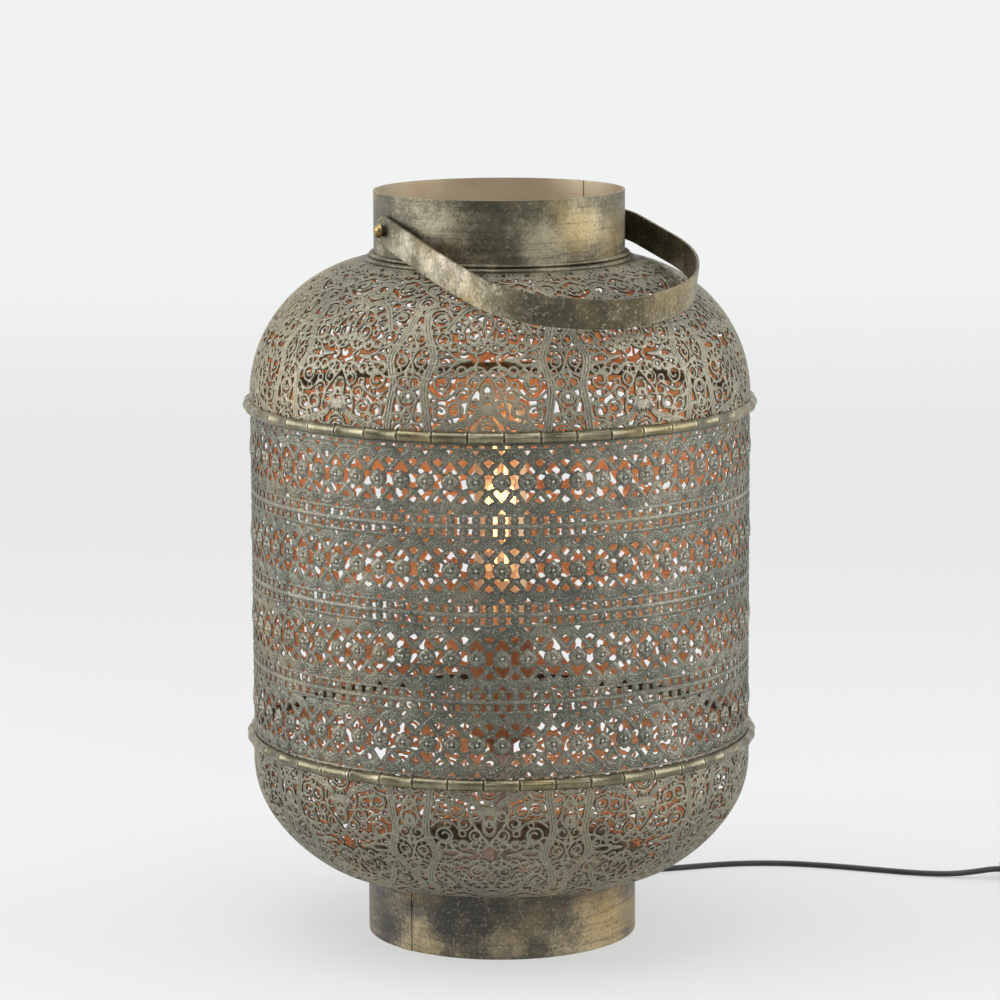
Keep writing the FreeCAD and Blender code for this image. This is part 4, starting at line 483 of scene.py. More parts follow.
def coilPoints():  # clockwise half turns: in on the floor, a climb, then out on top
    radii = [coil["outer"] - coil["step"] * k for k in range(coil["level"])] + [coil["beside"]]
    x, y = coil["start"]
    points = [(x, y, flex["floor"])]
    down, low, high = -1, flex["floor"], flex["upper"]
    for radius in radii + [coil["climb"]] + radii[::-1]:
        climbs = radius == coil["climb"]
        for k in range(1, coil["perHalf"] + 1):
            turn = math.pi * k / coil["perHalf"]
            z = low + (high - low) * k / coil["perHalf"] if climbs else low
            points.append((x - down * radius * math.sin(turn), y + down * radius * (1 - math.cos(turn)), z))
        y += 2 * radius * down
        down = -down
        low = high if climbs else low
    return points + [(x - 6.0, y, high)]


section = flatSection()
leadCord = smoothCord("leadCord", lead["points"], section)
restCord = smoothCord("restCord", rest["before"] + coilPoints() + rest["after"], section)
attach(leadCord, "lantern")
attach(restCord, "lantern")
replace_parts(leadCord, "cord_lead")
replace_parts(restCord, "cord_link", "cord_coil", "cord_tail")

innerLead = {"side": 62.0, "out": 73.0, "bend": 19.0, "height": 13.0, "top": 124.0}  # degrees, then mm


def leadInside():  # from the strain relief under the plate and up the stem
    across, deep = math.cos(math.radians(innerLead["side"])), math.sin(math.radians(innerLead["side"]))
    low, top, bend = innerLead["height"], innerLead["top"], innerLead["bend"]
    outs = [innerLead["out"], 45.0, bend, bend * 0.35]
    points = [(across * out, deep * out, low) for out in outs]
    points += [(0, 0, low + bend * 0.65), (0, 0, low + bend), (0, 0, 70.0), (0, 0, top)]
    return points


wire = smoothCord("leadInside", leadInside(), section)
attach(wire, "lantern")
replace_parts(wire, "inner_lead")
coreWires = {"side": 62.0, "apart": 1.35, "from": 124.0, "to": 129.2, "spread": 7.0, "radius": 1.0}


def coreWire(side):  # one insulated core from the flat lead's end to its terminal
    low, high = coreWires["from"], coreWires["to"]
    step = (high - low) / 3
    turn, near = math.radians(coreWires["side"]), coreWires["apart"] * side
    far = coreWires["spread"] * side
    start = (near * math.sin(turn), -near * math.cos(turn))
    points = [(*start, low), (*start, low + step), (far, 0, high - step), (far, 0, high)]
    name = "coreWire_left" if side < 0 else "coreWire_right"
    made = smoothCord(name, points, radius=coreWires["radius"] * mm)
    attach(made, "lantern")
    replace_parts(made, "lead_cores")


coreWire(-1)
coreWire(1)
print("cords laid")

reliefWeight = 1.6  # height counts more than breadth while the triangles are thinned
weldsPerMm = 2000
sharpFrom = 50  # degrees


def cutMetal(gap, cell):  # triangles of the metal, where gap is below zero, cut along gap's zero line
    rows, cols = gap.shape
    ids = np.arange(rows * cols).reshape(rows, cols)
    a, b, c, d = ids[:-1, :-1], ids[:-1, 1:], ids[1:, 1:], ids[1:, :-1]
    lean = (np.add.outer(np.arange(rows - 1), np.arange(cols - 1)) % 2 == 0)[..., None]
    first = np.where(lean, np.stack([a, b, c], -1), np.stack([a, b, d], -1))
    second = np.where(lean, np.stack([a, c, d], -1), np.stack([b, c, d], -1))
    tris = np.concatenate([first.reshape(-1, 3), second.reshape(-1, 3)])
    level = gap.ravel()
    metal = level < 0
    count = metal[tris].sum(1)
    whole = tris[count == 3]
    one, two = tris[count == 1], tris[count == 2]
    one = np.take_along_axis(one, (np.argmax(metal[one], 1)[:, None] + np.arange(3)) % 3, 1)
    two = np.take_along_axis(two, (np.argmin(metal[two], 1)[:, None] + np.arange(3)) % 3, 1)
    size = rows * cols

    def key(p, q):
        return np.minimum(p, q) * size + np.maximum(p, q)

    keys = [key(part[:, 0], part[:, k]) for part in (one, two) for k in (1, 2)]
    edges, back = np.unique(np.concatenate(keys), return_inverse=True)
    cuts = np.split(size + back.ravel(), np.cumsum([len(k) for k in keys])[:-1])
    p, q = edges // size, edges % size
    share = level[p] / (level[p] - level[q])
    flat = np.stack([ids.ravel() % cols, ids.ravel() // cols], 1) * cell
    fresh = flat[p] + (flat[q] - flat[p]) * share[:, None]
    faces = np.concatenate([
        whole,
        np.stack([one[:, 0], cuts[0], cuts[1]], 1),
        np.stack([cuts[2], two[:, 1], two[:, 2]], 1),
        np.stack([cuts[2], two[:, 2], cuts[3]], 1),
    ])
    return np.concatenate([flat, fresh]), faces


def looked(field, spots, cell):  # a grid's value between its points
    x, y = spots[:, 0] / cell, spots[:, 1] / cell
    col = np.clip(x.astype(int), 0, field.shape[1] - 2)
    row = np.clip(y.astype(int), 0, field.shape[0] - 2)
    u, v = x - col, y - row
    top = field[row, col] * (1 - u) + field[row, col + 1] * u
    low = field[row + 1, col] * (1 - u) + field[row + 1, col + 1] * u
    return top * (1 - v) + low * v


def thinned(spots, faces, share):  # fewer triangles, most of them kept where the sheet is shaped
    mesh = bpy.data.meshes.new("blank")
    mesh.from_pydata(spots.tolist(), [], faces.tolist())
    work = bpy.data.objects.new("blank", mesh)
    scene.collection.objects.link(work)
    fewer = work.modifiers.new("fewer", "DECIMATE")
    fewer.ratio = share
    done = work.evaluated_get(bpy.context.evaluated_depsgraph_get()).to_mesh()
    out = np.empty(len(done.vertices) * 3)
    done.vertices.foreach_get("co", out)
    loops = np.empty(len(done.loops), int)
    done.loops.foreach_get("vertex_index", loops)
    bpy.data.objects.remove(work)
    return out.reshape(-1, 3), loops.reshape(-1, 3)


def pressTile(gap, rise, cell, share):  # one half repeat of a sheet, its openings cut and its pattern raised
    flat, faces = cutMetal(gap, cell)
    used, faces = np.unique(faces, return_inverse=True)
    flat, faces = flat[used], faces.reshape(-1, 3)
    lift = looked(rise, flat, cell)
    spots, faces = thinned(np.column_stack([flat, lift * reliefWeight]), faces, share)
    spots[:, 2] /= reliefWeight
    size = [(gap.shape[1] - 1) * cell, (gap.shape[0] - 1) * cell]
    for way in (0, 1):  # the tile's own edges stay straight, so that its mirrored copies meet it
        spots[spots[:, way] < cell * 0.3, way] = 0.0
        spots[spots[:, way] > size[way] - cell * 0.3, way] = size[way]
    return spots, faces, size


def rimEdges(faces):  # edges that only one triangle has, in its own direction
    edges = np.concatenate([faces[:, [0, 1]], faces[:, [1, 2]], faces[:, [2, 0]]])
    key = edges.min(1) * (faces.max() + 1) + edges.max(1)
    _, back, count = np.unique(key, return_inverse=True, return_counts=True)
    return edges[count[back.ravel()] == 1]


def rollSheet(name, tile, sheet):  # copies of the half tile round the axis, as closed shells
    spots, faces, size = tile
    top = spots[:, 2].max()
    pieces = []
    for part, (begin, end) in enumerate(sheet["parts"]):
        places, tris = [], []
        for k in range(begin, end):
            for turned in (False, True):
                across = (2 * (k + 1) * size[0] - spots[:, 0]) if turned else (2 * k * size[0] + spots[:, 0])
                tris.append((faces[:, ::-1] if turned else faces) + len(places) * len(spots))
                places.append(np.column_stack([across, spots[:, 1:]]))
        places, tris = np.concatenate(places), np.concatenate(tris)
        key = np.round(places[:, :2] * weldsPerMm).astype(np.int64)
        _, keep, back = np.unique(key[:, 0] * 10**7 + key[:, 1], return_index=True, return_inverse=True)
        places, tris = places[keep], back.ravel()[tris]
        tris = tris[(tris[:, 0] != tris[:, 1]) & (tris[:, 1] != tris[:, 2]) & (tris[:, 0] != tris[:, 2])]
        outer, normal = sheet["place"](places[:, 0], places[:, 1])
        face = outer + normal * places[:, 2:]
        back = outer + normal * (places[:, 2:] * sheet["follow"] - sheet["thickness"])
        rim = rimEdges(tris)
        count = len(places)
        walls = np.concatenate([np.stack([rim[:, 0], rim[:, 0] + count, rim[:, 1] + count], 1),
                                np.stack([rim[:, 0], rim[:, 1] + count, rim[:, 1]], 1)])
        allFaces = np.concatenate([tris, tris[:, ::-1] + count, walls])
        kinds = np.repeat([0, 1, 0], [len(tris), len(tris), len(walls)])
        height = np.concatenate([places[:, 2] / top, places[:, 2] / top])
        piece = shellPiece(f"{name}_{part + 1}", np.concatenate([face, back]) * mm, allFaces, kinds, height,
                           [paints[sheet["paint"]], paints["inside"]])
        pieces.append(piece)
        print(piece.name, len(allFaces), "triangles")
    return pieces


def shellPiece(name, places, faces, kinds, height, materials):
    mesh = bpy.data.meshes.new(name)
    mesh.vertices.add(len(places))
    mesh.vertices.foreach_set("co", places.ravel())
    mesh.loops.add(faces.size)
    mesh.loops.foreach_set("vertex_index", faces.ravel().astype(np.int32))
    mesh.polygons.add(len(faces))
    mesh.polygons.foreach_set("loop_start", np.arange(0, faces.size, faces.shape[1], dtype=np.int32))
    for paint in materials:
        mesh.materials.append(paint)
    mesh.polygons.foreach_set("material_index", kinds.astype(np.int32))
    mesh.update(calc_edges=True)
    mesh.validate()
    if len(height) == len(mesh.vertices):
        mesh.attributes.new("height", "FLOAT", "POINT").data.foreach_set("value", height.astype(np.float32))
    mesh.polygons.foreach_set("use_smooth", np.ones(len(mesh.polygons), bool))
    mesh.set_sharp_from_angle(angle=math.radians(sharpFrom))
    piece = bpy.data.objects.new(name, mesh)
    scene.collection.objects.link(piece)
    return piece


def hollowDistance(x, y, corners):  # distance to a polygon, below zero inside it
    best = np.full(x.shape, 1e9)
    inside = np.zeros(x.shape, bool)
    for (x0, y0), (x1, y1) in zip(corners, corners[1:] + corners[:1]):
        dx, dy = x1 - x0, y1 - y0
        t = np.clip(((x - x0) * dx + (y - y0) * dy) / (dx * dx + dy * dy), 0, 1)
        best = np.minimum(best, np.hypot(x - x0 - t * dx, y - y0 - t * dy))
        if y0 != y1:
            inside ^= ((y0 > y) != (y1 > y)) & (x < (x1 - x0) * (y - y0) / (y1 - y0) + x0)
    return np.where(inside, -best, best)


# The drum: four rows of flowers, hearts and kites between rows of small waisted holes
drum = {
    "radius": 150.6, "low": 123.5, "high": 326.4, "flowers": 64, "rows": (300.7, 249.2, 197.9, 146.9),
    "thickness": 0.6, "cell": 0.33, "share": 0.15, "turn": 0.28,
    "lap": (303.5, 5.0, 0.75),  # degrees round, degrees that it takes to rise, mm that it stands out
}
drumWidth = math.pi * drum["radius"] / drum["flowers"]  # half a flower's pitch, mm


def openings():  # corners in mm across and up from the flower's middle, and their rounding
    w = drumWidth
    mid = [(-2.5, 3.3), (0, 4.2), (2.5, 3.3), (1.55, 1.0), (1.55, -1.0), (2.5, -3.3), (0, -4.2), (-2.5, -3.3),
           (-1.55, -1.0), (-1.55, 1.0)]
    heart = [(0, 11.3), (-4.2, 5.9), (-3.6, 4.7), (-1.9, 4.6), (-0.9, 6.0), (0.9, 6.0), (1.9, 4.6), (3.6, 4.7),
             (4.2, 5.9)]
    lower = [(x, -y - 0.5) for x, y in heart]
    kite = [(-2.6, 11.3), (0, 13.0), (2.6, 11.3), (0, 8.5)]
    small = [(-2.5, -11.0), (0, -8.3), (2.5, -11.0), (0, -12.4)]
    tip = [(-1.7, 17.9), (1.7, 17.9), (0, 15.7)]
    base = [(-1.7, -18.4), (1.7, -18.4), (0, -16.2)]
    mid, kite, small = ([(w + x, y) for x, y in shape] for shape in (mid, kite, small))
    return [(shape, 0.3) for shape in (mid, heart, lower, kite, small, tip, base)]


def waisted(w, y):  # one small waisted hole of the rows between the flowers
    shape = [(-1.6, 1.8), (1.6, 1.8), (1.0, 0.5), (1.0, -0.5), (1.6, -1.8), (-1.6, -1.8), (-1.0, -0.5),
             (-1.0, 0.5)]
    return [(w + dx, y + dy) for dx, dy in shape]


def dome(distance, radius):  # a round bump that is 1 at its middle
    return np.sqrt(np.clip(1 - (distance / radius) ** 2, 0, 1))


def drumTile():
    cell = drumWidth / round(drumWidth / drum["cell"])
    height = drum["high"] - drum["low"]
    rows = round(height / cell)
    cellY = height / rows
    across, up = np.arange(round(drumWidth / cell) + 1) * cell, np.arange(rows + 1) * cellY
    x, z = np.meshgrid(across, drum["low"] + up)
    gap = np.full(x.shape, -9.0)
    rise = np.zeros(x.shape)
    for level in drum["rows"]:
        y = z - level
        near = np.abs(y) < 22
        for corners, soft in openings():
            gap = np.where(near, np.maximum(gap, soft - hollowDistance(x, y, corners)), gap)
        for turn in range(8):  # the flower's petals, large and small by turns
            large = turn % 2 == 0
            angle = math.pi / 4 * turn
            reach = 3.0 if large else 2.9
            d = np.hypot(x - reach * math.cos(angle), y - reach * math.sin(angle))
            rise = np.maximum(rise, (1.0 if large else 0.65) * dome(d, 1.8 if large else 1.15))
        rise = np.maximum(rise, 1.45 * dome(np.hypot(x, y), 1.3))
        for turn in range(6):  # grains round the flower's middle
            angle = math.pi / 3 * turn
            d = np.hypot(x - 1.75 * math.cos(angle), y - 1.75 * math.sin(angle))
            rise = np.maximum(rise, 1.3 * dome(d, 0.5))
        for way in (1, -1):  # the lattice bars between hearts and kites, and the beaded scallops past them
            off = 0.0 if way == 1 else 0.5
            bar = np.abs((y * way - off) - 13.3 + x * 1.12) / 1.5
            knots = 0.7 + 0.3 * np.cos((y * way - x) * 3.4)
            rise = np.maximum(rise, 0.42 * dome(bar, 0.75) * knots * ((y * way > 4.6) & (y * way < 13.6)))
            ring = np.hypot(x - drumWidth, y * way - off - 8.6)
            turnRound = np.arctan2(x - drumWidth, y * way - off - 8.6)
            beads = 0.55 + 0.45 * np.cos(turnRound * 22)
            over = y * way - off > 8.0
            rise = np.maximum(rise, 0.6 * dome(ring - 6.9, 0.75) * beads * over)
            rise = np.maximum(rise, 0.35 * dome(ring - 5.6, 0.35) * over)
            rise = np.maximum(rise, 0.3 * dome(ring - 8.3, 0.35) * over)
        edge = np.abs(np.abs(y) - 19.5)
        rise = np.maximum(rise, 0.5 * dome(edge, 0.55) * (0.65 + 0.35 * np.cos(x / drumWidth * math.pi * 6)))
    for upper, lower in zip(drum["rows"][:-1], drum["rows"][1:]):
        middle = (upper + lower) / 2
        y = z - middle
        near = np.abs(y) < 7
        for side in (3.55, -3.55):
            hollow = hollowDistance(x, y, waisted(drumWidth / 2, side))
            gap = np.where(near, np.maximum(gap, 0.2 - hollow), gap)
        rise = np.maximum(rise, 0.45 * np.clip((1.15 - np.abs(y)) / 0.3, 0, 1))
        for across in (0.0, drumWidth):  # a stud between the waisted holes
            for side in (3.55, -3.55):
                rise = np.maximum(rise, 0.55 * dome(np.hypot(x - across, y - side), 1.15))
    for level, way in ((drum["rows"][0], 1), (drum["rows"][-1], -1)):  # the slots beside each band
        y = (z - level) * way
        corners = ((-1.3, 20.6), (1.3, 20.6), (1.3, 19.9), (-1.3, 19.9))
        slot = [(drumWidth / 2 + side, up) for side, up in corners]
        gap = np.maximum(gap, 0.3 - hollowDistance(x, y, slot))
    return gap, rise, cell, cellY


def drumPlace(across, along):
    turn = across / drum["radius"] + math.radians(drum["turn"])
    normal = np.column_stack([np.sin(turn), -np.cos(turn), np.zeros(len(turn))])
    place, spread, lift = drum["lap"]  # one end of the sheet stands over the other
    short = place - np.degrees(turn)
    radius = drum["radius"] + np.where(short > 0, lift * np.clip(1 - short / spread, 0, 1), 0)
    level = np.zeros(len(turn))
    return normal * radius[:, None] + np.column_stack([level, level, along + drum["low"]]), normal


gap, rise, cell, cellY = drumTile()
tile = pressTile(gap, rise, cell, drum["share"])
tile[0][:, 1] *= cellY / cell
tile = (tile[0], tile[1], [tile[2][0], tile[2][1] * cellY / cell])
flowers = drum["flowers"]
drumParts = rollSheet("drumSheet", tile, {
    "place": drumPlace, "thickness": drum["thickness"], "follow": 0.75, "paint": "sheet",
    "parts": [(flowers * k // 5, flowers * (k + 1) // 5) for k in range(5)],
})
for piece in drumParts:
    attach(piece, "lantern")
    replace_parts(piece, "drum")
print("drum rolled")

# The filigree of the dome and the bowl: ten repeats of 36 degrees, each one mirrored
filigree = {
    "repeats": 10, "cell": 0.5, "share": 0.3, "thickness": 0.7, "wide": 150.6, "turn": -2.8,
    "fill": 260, "smallest": 1.6, "largest": 5.4,  # scrolls at most, and their room and radius in mm
}
filigreeWidth = math.pi * filigree["wide"] / filigree["repeats"]  # half a repeat at the bead band, mm


def smoothLine(points, steps=7):  # a curve through the points
    spots = np.array(points, float)
    spots = np.concatenate([2 * spots[:1] - spots[1:2], spots, 2 * spots[-1:] - spots[-2:-1]])
    line = []
    for a, b, c, d in zip(spots[:-3], spots[1:-2], spots[2:-1], spots[3:]):
        t = np.linspace(0, 1, steps, endpoint=False)[:, None]
        line.append(b + 0.5 * t * (c - a + t * (2 * a - 5 * b + 4 * c - d + t * (3 * (b - c) + d - a))))
    return np.concatenate(line + [spots[-2:-1]])


def curl(x, y, radius, start, turns, hand, inner=0.3):  # a scroll that winds in to its eye
    t = np.linspace(0, 1, int(14 * turns) + 2)
    turn = math.radians(start) + hand * turns * 2 * math.pi * t
    reach = radius * (1 - (1 - inner) * np.clip((t * turns - 0.7) / max(turns - 0.7, 0.1), 0, 1))
    return np.column_stack([x + reach * np.cos(turn), y + reach * np.sin(turn)])


def oval(x, y, across, along, count=16):
    turn = np.linspace(0, 2 * math.pi, count + 1)
    lean = np.abs(np.sin(turn)) ** 0.75 * np.sign(np.sin(turn))
    return np.column_stack([x + across * np.cos(turn), y + along * lean])


# Lines of the half repeat in mm: across from its axis of symmetry and up from the band, half width, ribs
strokes = [
    (smoothLine([(0, 52.6), (3.2, 49.6), (7.6, 48.2), (5.4, 44.8), (7.4, 41.2), (3.2, 39.9), (0, 37.0)]),
     0.85, 1),
    (oval(0, 44.8, 3.2, 3.0), 0.8, 1),
    (oval(0, 67.5, 3.0, 7.0), 1.15, 2),
    (oval(0, 23.0, 3.4, 7.6), 1.2, 2),
    (oval(24.0, 44.2, 6.6, 2.7), 1.1, 2),
    (oval(17.2, 59.6, 2.0, 2.0, 10), 0.75, 1),
    (oval(15.9, 29.6, 2.0, 2.0, 10), 0.75, 1),
    (curl(8.7, 59.6, 4.2, 200, 1.5, 1), 0.8, 1),
    (curl(7.9, 31.0, 3.8, 150, 1.5, -1), 0.8, 1),
    (curl(15.4, 51.6, 3.0, 60, 1.3, 1), 0.9, 1),
    (curl(15.6, 37.6, 3.0, -60, 1.3, -1), 0.9, 1),
    (curl(28.4, 57.4, 5.0, 250, 1.6, -1), 0.8, 1),
    (curl(26.8, 31.2, 4.8, 110, 1.6, 1), 0.8, 1),
    (smoothLine([(10.2, 44.8), (17.5, 44.0), (26, 50.6), (36.4, 53.2), (44.6, 49.4), (47.3, 43.2)]), 0.85, 1),
    (smoothLine([(10.2, 44.8), (17.5, 44.6), (25, 36.8), (34.4, 32.8), (43.6, 36.6), (47.3, 43.2)]), 0.85, 1),
    (smoothLine([(43.5, 76), (41.5, 66), (38.6, 58), (34.6, 50), (33.4, 43.5), (35.6, 36), (37.8, 28),
                 (36.2, 16), (34.6, 3)]), 2.6, 3),
    (curl(41.3, 43.2, 3.3, 90, 1.4, -1), 0.8, 1),
    (smoothLine([(0, 36.4), (4.6, 30.5), (9.8, 22.6), (11.8, 14.2), (10.2, 8.6), (11.0, 3)]), 0.85, 1),
    (smoothLine([(0, 16.6), (4.4, 14.6), (9.4, 9.4), (16.5, 7.2), (22, 4)]), 2.1, 3),
    (smoothLine([(0, 9.5), (4.2, 8.2), (6.6, 3.5)]), 0.75, 1),
    (curl(18.6, 15.4, 4.4, 230, 1.5, -1), 0.8, 1),
    (curl(27.4, 14.0, 4.2, 320, 1.5, 1), 0.8, 1),
    (smoothLine([(22.2, 4), (26.6, 8.2), (31.4, 9.0), (34.4, 14)]), 0.8, 1),
    (smoothLine([(34.4, 26), (29.6, 22.4), (24.4, 21.8), (20.0, 24.6), (17.4, 28)]), 0.8, 1),
    (smoothLine([(38.2, 26), (41.6, 20), (44.2, 12), (47.3, 7.4)]), 0.85, 1),
    (curl(43.4, 30.2, 3.6, 200, 1.5, 1), 0.75, 1),
    (curl(44.0, 57.6, 3.6, 120, 1.5, -1), 0.75, 1),
    (smoothLine([(0, 60.6), (3.8, 56.2), (8.6, 54.4), (12.6, 55.6)]), 0.8, 1),
    (smoothLine([(0, 76), (6.4, 74.4), (13.0, 69.8), (17.0, 62.4)]), 0.85, 1),
    (smoothLine([(0, 78.5), (8.0, 82.4), (16.0, 79.0), (22.6, 71.2), (27.4, 62.2)]), 2.0, 2),
    (smoothLine([(24, 72), (31, 78), (38.4, 77.8), (43.6, 72.6)]), 0.85, 1),
    (oval(47.3, 82.0, 7.4, 8.6), 1.3, 2),
    (oval(0, 92.5, 8.6, 7.4), 1.3, 2),
    (smoothLine([(8.4, 92.5), (16, 88), (24, 84.6), (32, 88.2), (40, 91.0)]), 1.2, 1),
    (smoothLine([(0, 104), (12, 101.4), (23.6, 105.6), (35.4, 101.4), (47.3, 104)]), 1.2, 1),
]


def lineDistance(x, y, squeeze, line):  # mm on the real surface from every grid point to a line
    best = np.full(x.shape, 1e3)
    for (x0, y0), (x1, y1) in zip(line[:-1], line[1:]):
        dx, dy = (x1 - x0) * squeeze, y1 - y0
        px, py = (x - x0) * squeeze, y - y0
        t = np.clip((px * dx + py * dy) / np.maximum(dx * dx + dy * dy, 1e-9), 0, 1)
        best = np.minimum(best, np.hypot(px - t * dx, py - t * dy))
    return best


def ribs(distance, half, count):  # round ribs side by side over the line's width
    pitch = 2 * half / count
    across = (distance + half) % pitch - pitch / 2
    return np.where(distance < half, dome(across, pitch / 2), 0.0)


def filigreeTile(radiusAt, length, seedTurn):
    cell = filigreeWidth / round(filigreeWidth / filigree["cell"])
    rows = round(length / cell)
    cellY = length / rows
    x, y = np.meshgrid(np.arange(round(filigreeWidth / cell) + 1) * cell, np.arange(rows + 1) * cellY)
    squeeze = radiusAt(y) / filigree["wide"]
    away = np.full(x.shape, 1e3)
    rise = np.zeros(x.shape)

    def draw(line, half, count):
        nonlocal away, rise
        lows, highs = line.min(0) - 8, line.max(0) + 8
        pick = (y[:, 0] > lows[1]) & (y[:, 0] < highs[1])
        for flip, shift in ((1, 0.0), (-1, 0.0), (-1, 2 * filigreeWidth)):
            seen = line * (flip, 1) + (shift, 0)
            if seen[:, 0].max() < -6 or seen[:, 0].min() > filigreeWidth + 6:
                continue
            d = lineDistance(x[pick], y[pick], squeeze[pick], seen)
            away[pick] = np.minimum(away[pick], d - half)
            rise[pick] = np.maximum(rise[pick], ribs(d, half, count))

    for line, half, count in strokes:
        draw(line, half, count)
    for k in range(filigree["fill"]):  # scrolls fill the largest hollows that are left
        free = np.where((y > 1.5) & (y < length - 1.5), away, -1)
        spot = np.unravel_index(np.argmax(free), free.shape)
        room = free[spot]
        if room < filigree["smallest"]:
            break
        radius = min(room + 0.3, filigree["largest"])
        local = squeeze[spot]
        turn = (seedTurn + k * 137.5) % 360
        hand = 1 if k % 2 else -1
        if radius > 2.3:
            shape = curl(0, 0, radius, turn, 1.55, hand, 0.34)
        else:
            shape = oval(0, 0, radius * 0.86, radius * 0.86, 10)
        draw(shape * (1 / local, 1) + (x[spot], y[spot]), 0.72 if radius > 2.3 else 0.62, 1)
    gap = np.minimum(away, 6.0)
    gap = np.minimum(gap, np.minimum(y - 2.2, length - 2.5 - y))
    return loosened(gap), rise, cell, cellY


def loosened(gap):  # leaves out metal that hangs on nothing
    metal = gap < 0
    held = np.zeros(metal.shape, bool)
    held[0], held[-1] = metal[0], metal[-1]
    while True:
        grown = held.copy()
        grown[1:] |= held[:-1]
        grown[:-1] |= held[1:]
        grown[:, 1:] |= held[:, :-1]
        grown[:, :-1] |= held[:, 1:]
        grown &= metal
        if (grown == held).all():
            return np.where(metal & ~held, 0.2, gap)
        held = grown


def profile(start, heading, runs):  # samples of a sheet's outline: radius, height and outward normal
    r, z = start
    turn = math.radians(heading)
    spots = []
    along = 0.0
    for length, bend in runs:
        steps = 24
        for k in range(steps):
            share = length * k / steps
            if bend:
                swing = share / bend
                dr = bend * (math.sin(turn + swing) - math.sin(turn))
                dz = bend * (math.cos(turn) - math.cos(turn + swing))
            else:
                swing, dr, dz = 0.0, share * math.cos(turn), share * math.sin(turn)
            spots.append((along + share, r + dr, z + dz, turn + swing))
        if bend:
            swing = length / bend
            r += bend * (math.sin(turn + swing) - math.sin(turn))
            z += bend * (math.cos(turn) - math.cos(turn + swing))
            turn += swing
        else:
            r, z = r + length * math.cos(turn), z + length * math.sin(turn)
        along += length
    spots.append((along, r, z, turn))
    return np.array(spots).T


domeSheet = {"runs": [(4.5, 0), (math.radians(79.2) * 82.8, 82.8)], "start": (150.6, 326.4), "heading": 90}
bowlSheet = {
    "runs": [(14.1, 0), (math.radians(33.5) * 59.2, -59.2), (math.radians(26) * 95.2, -95.2),
             (math.radians(28.5) * 20.0, -20.0), (16.4, 0)],
    "start": (150.6, 123.5), "heading": -90,
}


def pierceShell(name, node, shell, seedTurn, flip):
    along, r, z, turn = profile(shell["start"], shell["heading"], shell["runs"])
    length = along[-1]
    gap, rise, cell, cellY = filigreeTile(lambda t: np.interp(t, along, r), length, seedTurn)
    spots, faces, size = pressTile(gap, rise * 0.75, cell, filigree["share"])
    spots[:, 1] *= cellY / cell
    size = [size[0], length]
    spots[:, 1] = np.clip(spots[:, 1], 0, length)
    side = 1 if flip else -1

    def place(across, up):
        angle = across / filigree["wide"] + math.radians(filigree["turn"])
        radius, height, way = (np.interp(up, along, v) for v in (r, z, turn))
        out, lift = -side * np.sin(way), side * np.cos(way)
        base = np.column_stack([radius * np.sin(angle), -radius * np.cos(angle), height])
        return base, np.column_stack([out * np.sin(angle), -out * np.cos(angle), lift])

    if flip:  # the way up runs down the bowl, so the faces turn over
        faces = faces[:, ::-1]
    made = rollSheet(name, (spots, faces, size), {
        "place": place, "thickness": filigree["thickness"], "follow": 0.8, "paint": "filigree",
        "parts": [(k, k + 2) for k in range(0, filigree["repeats"], 2)],
    })
    for piece in made:
        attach(piece, "lantern")
    return made


domeParts = pierceShell("domeSheet", "dome", domeSheet, 20, False)
bowlParts = pierceShell("bowlSheet", "bowl", bowlSheet, 75, True)
print("dome and bowl pierced")


def turnedRing(name, outline, paint, count=180):  # a closed outline turned round the axis
    points, faces = [], []
    size = len(outline)
    for k in range(count):
        turn = 2 * math.pi * k / count
        points += [(r * math.sin(turn), -r * math.cos(turn), z) for r, z in outline]
        for i in range(size):
            a, b = k * size + i, k * size + (i + 1) % size
            c, d = (k + 1) % count * size + (i + 1) % size, (k + 1) % count * size + i
            faces.append((a, d, c, b))
    places = np.array(points) * mm
    height = np.full(len(places), 0.4)
    piece = shellPiece(name, places, np.array(faces), np.zeros(len(faces), int), height, [paint])
    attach(piece, "lantern")
    return piece


# plain rims that join the pierced sheets to the neck ring above and the foot below
domeEdge = [(84.4, 411.9), (84.4, 412.9), (75.9, 412.9), (75.9, 411.6), (83.0, 411.1)]  # radius and height, mm
domeRim = turnedRing("domeRim", domeEdge, paints["filigree"])
bowlRim = turnedRing("bowlRim", [(85.2, 43.9), (85.2, 45.2), (77.0, 45.2), (77.0, 44.0)], paints["filigree"])
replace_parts(domeRim, "dome")
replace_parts(bowlRim, "bowl")
for piece in domeParts:
    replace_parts(piece, "dome")
for piece in bowlParts:
    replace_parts(piece, "bowl")

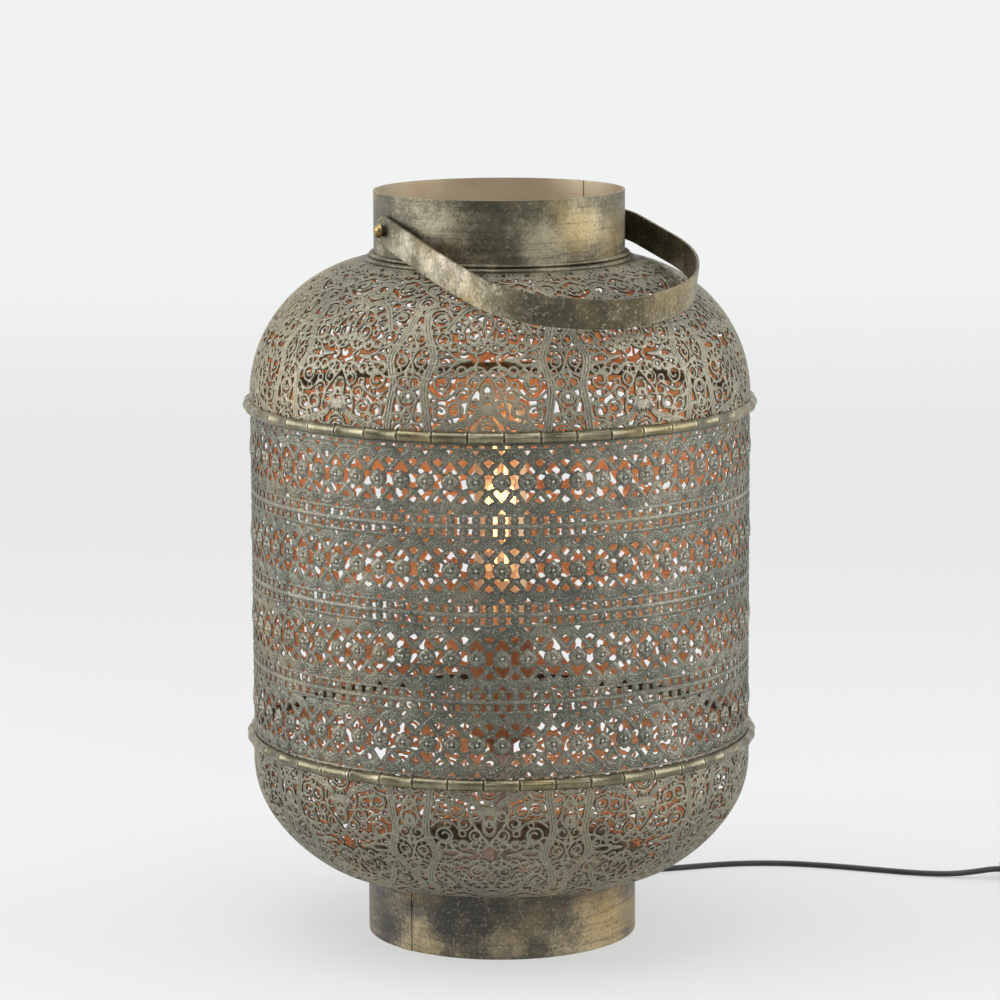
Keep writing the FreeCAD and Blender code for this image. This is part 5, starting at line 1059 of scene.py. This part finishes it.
# The two bead bands, like jointed cane
band = {
    "segments": 46, "middle": 151.65, "radius": 3.7, "inner": 149.4, "steps": 12,
    "levels": {"upper_bead_band": (326.4, -3.04), "lower_bead_band": (123.5, 0.0)},  # mm, degrees
}


def caneBand(name, level, turned):
    across = np.array([-0.5, -0.485, -0.47, -0.44, -0.41, 0.0, 0.41, 0.44, 0.47, 0.485])
    across = across / band["segments"] * 2 * math.pi + math.radians(turned)
    size = np.array([0.8, 0.84, 0.99, 1.0, 0.93, 0.9, 0.93, 1.0, 0.99, 0.84])
    points, faces, height = [], [], []
    steps = band["steps"]
    ring = steps + 1
    spread = np.linspace(-math.pi / 2, math.pi / 2, steps + 1)
    for k in range(band["segments"]):
        for turn, scale in zip(across + 2 * math.pi * k / band["segments"], size):
            for lean in spread:
                r = max(band["middle"] + band["radius"] * scale * math.cos(lean), band["inner"])
                z = level + band["radius"] * scale * math.sin(lean)
                points.append((r * math.sin(turn), -r * math.cos(turn), z))
                height.append((scale - 0.8) / 0.2)
    count = len(points) // ring
    back = len(points)
    for k in range(count):
        turn = math.atan2(points[k * ring][0], -points[k * ring][1])
        for z in (band["radius"] * 0.75, -band["radius"] * 0.75):
            points.append((band["inner"] * math.sin(turn), -band["inner"] * math.cos(turn), level + z))
            height.append(0.0)
    for k in range(count):
        n = (k + 1) % count
        for i in range(steps):
            faces.append((k * ring + i, n * ring + i, n * ring + i + 1, k * ring + i + 1))
        high, low = back + 2 * k, back + 2 * k + 1
        nextHigh, nextLow = back + 2 * n, back + 2 * n + 1
        faces.append((k * ring + steps, n * ring + steps, nextHigh, high))
        faces.append((high, nextHigh, nextLow, low))
        faces.append((low, nextLow, n * ring, k * ring))
    kinds = np.zeros(len(faces), int)
    piece = shellPiece(name, np.array(points) * mm, np.array(faces), kinds, np.array(height), [paints["bead"]])
    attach(piece, "lantern")
    return piece


for node, (level, turned) in band["levels"].items():
    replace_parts(caneBand(node.replace("_bead_band", "Cane"), level, turned), node)
print("bands turned")
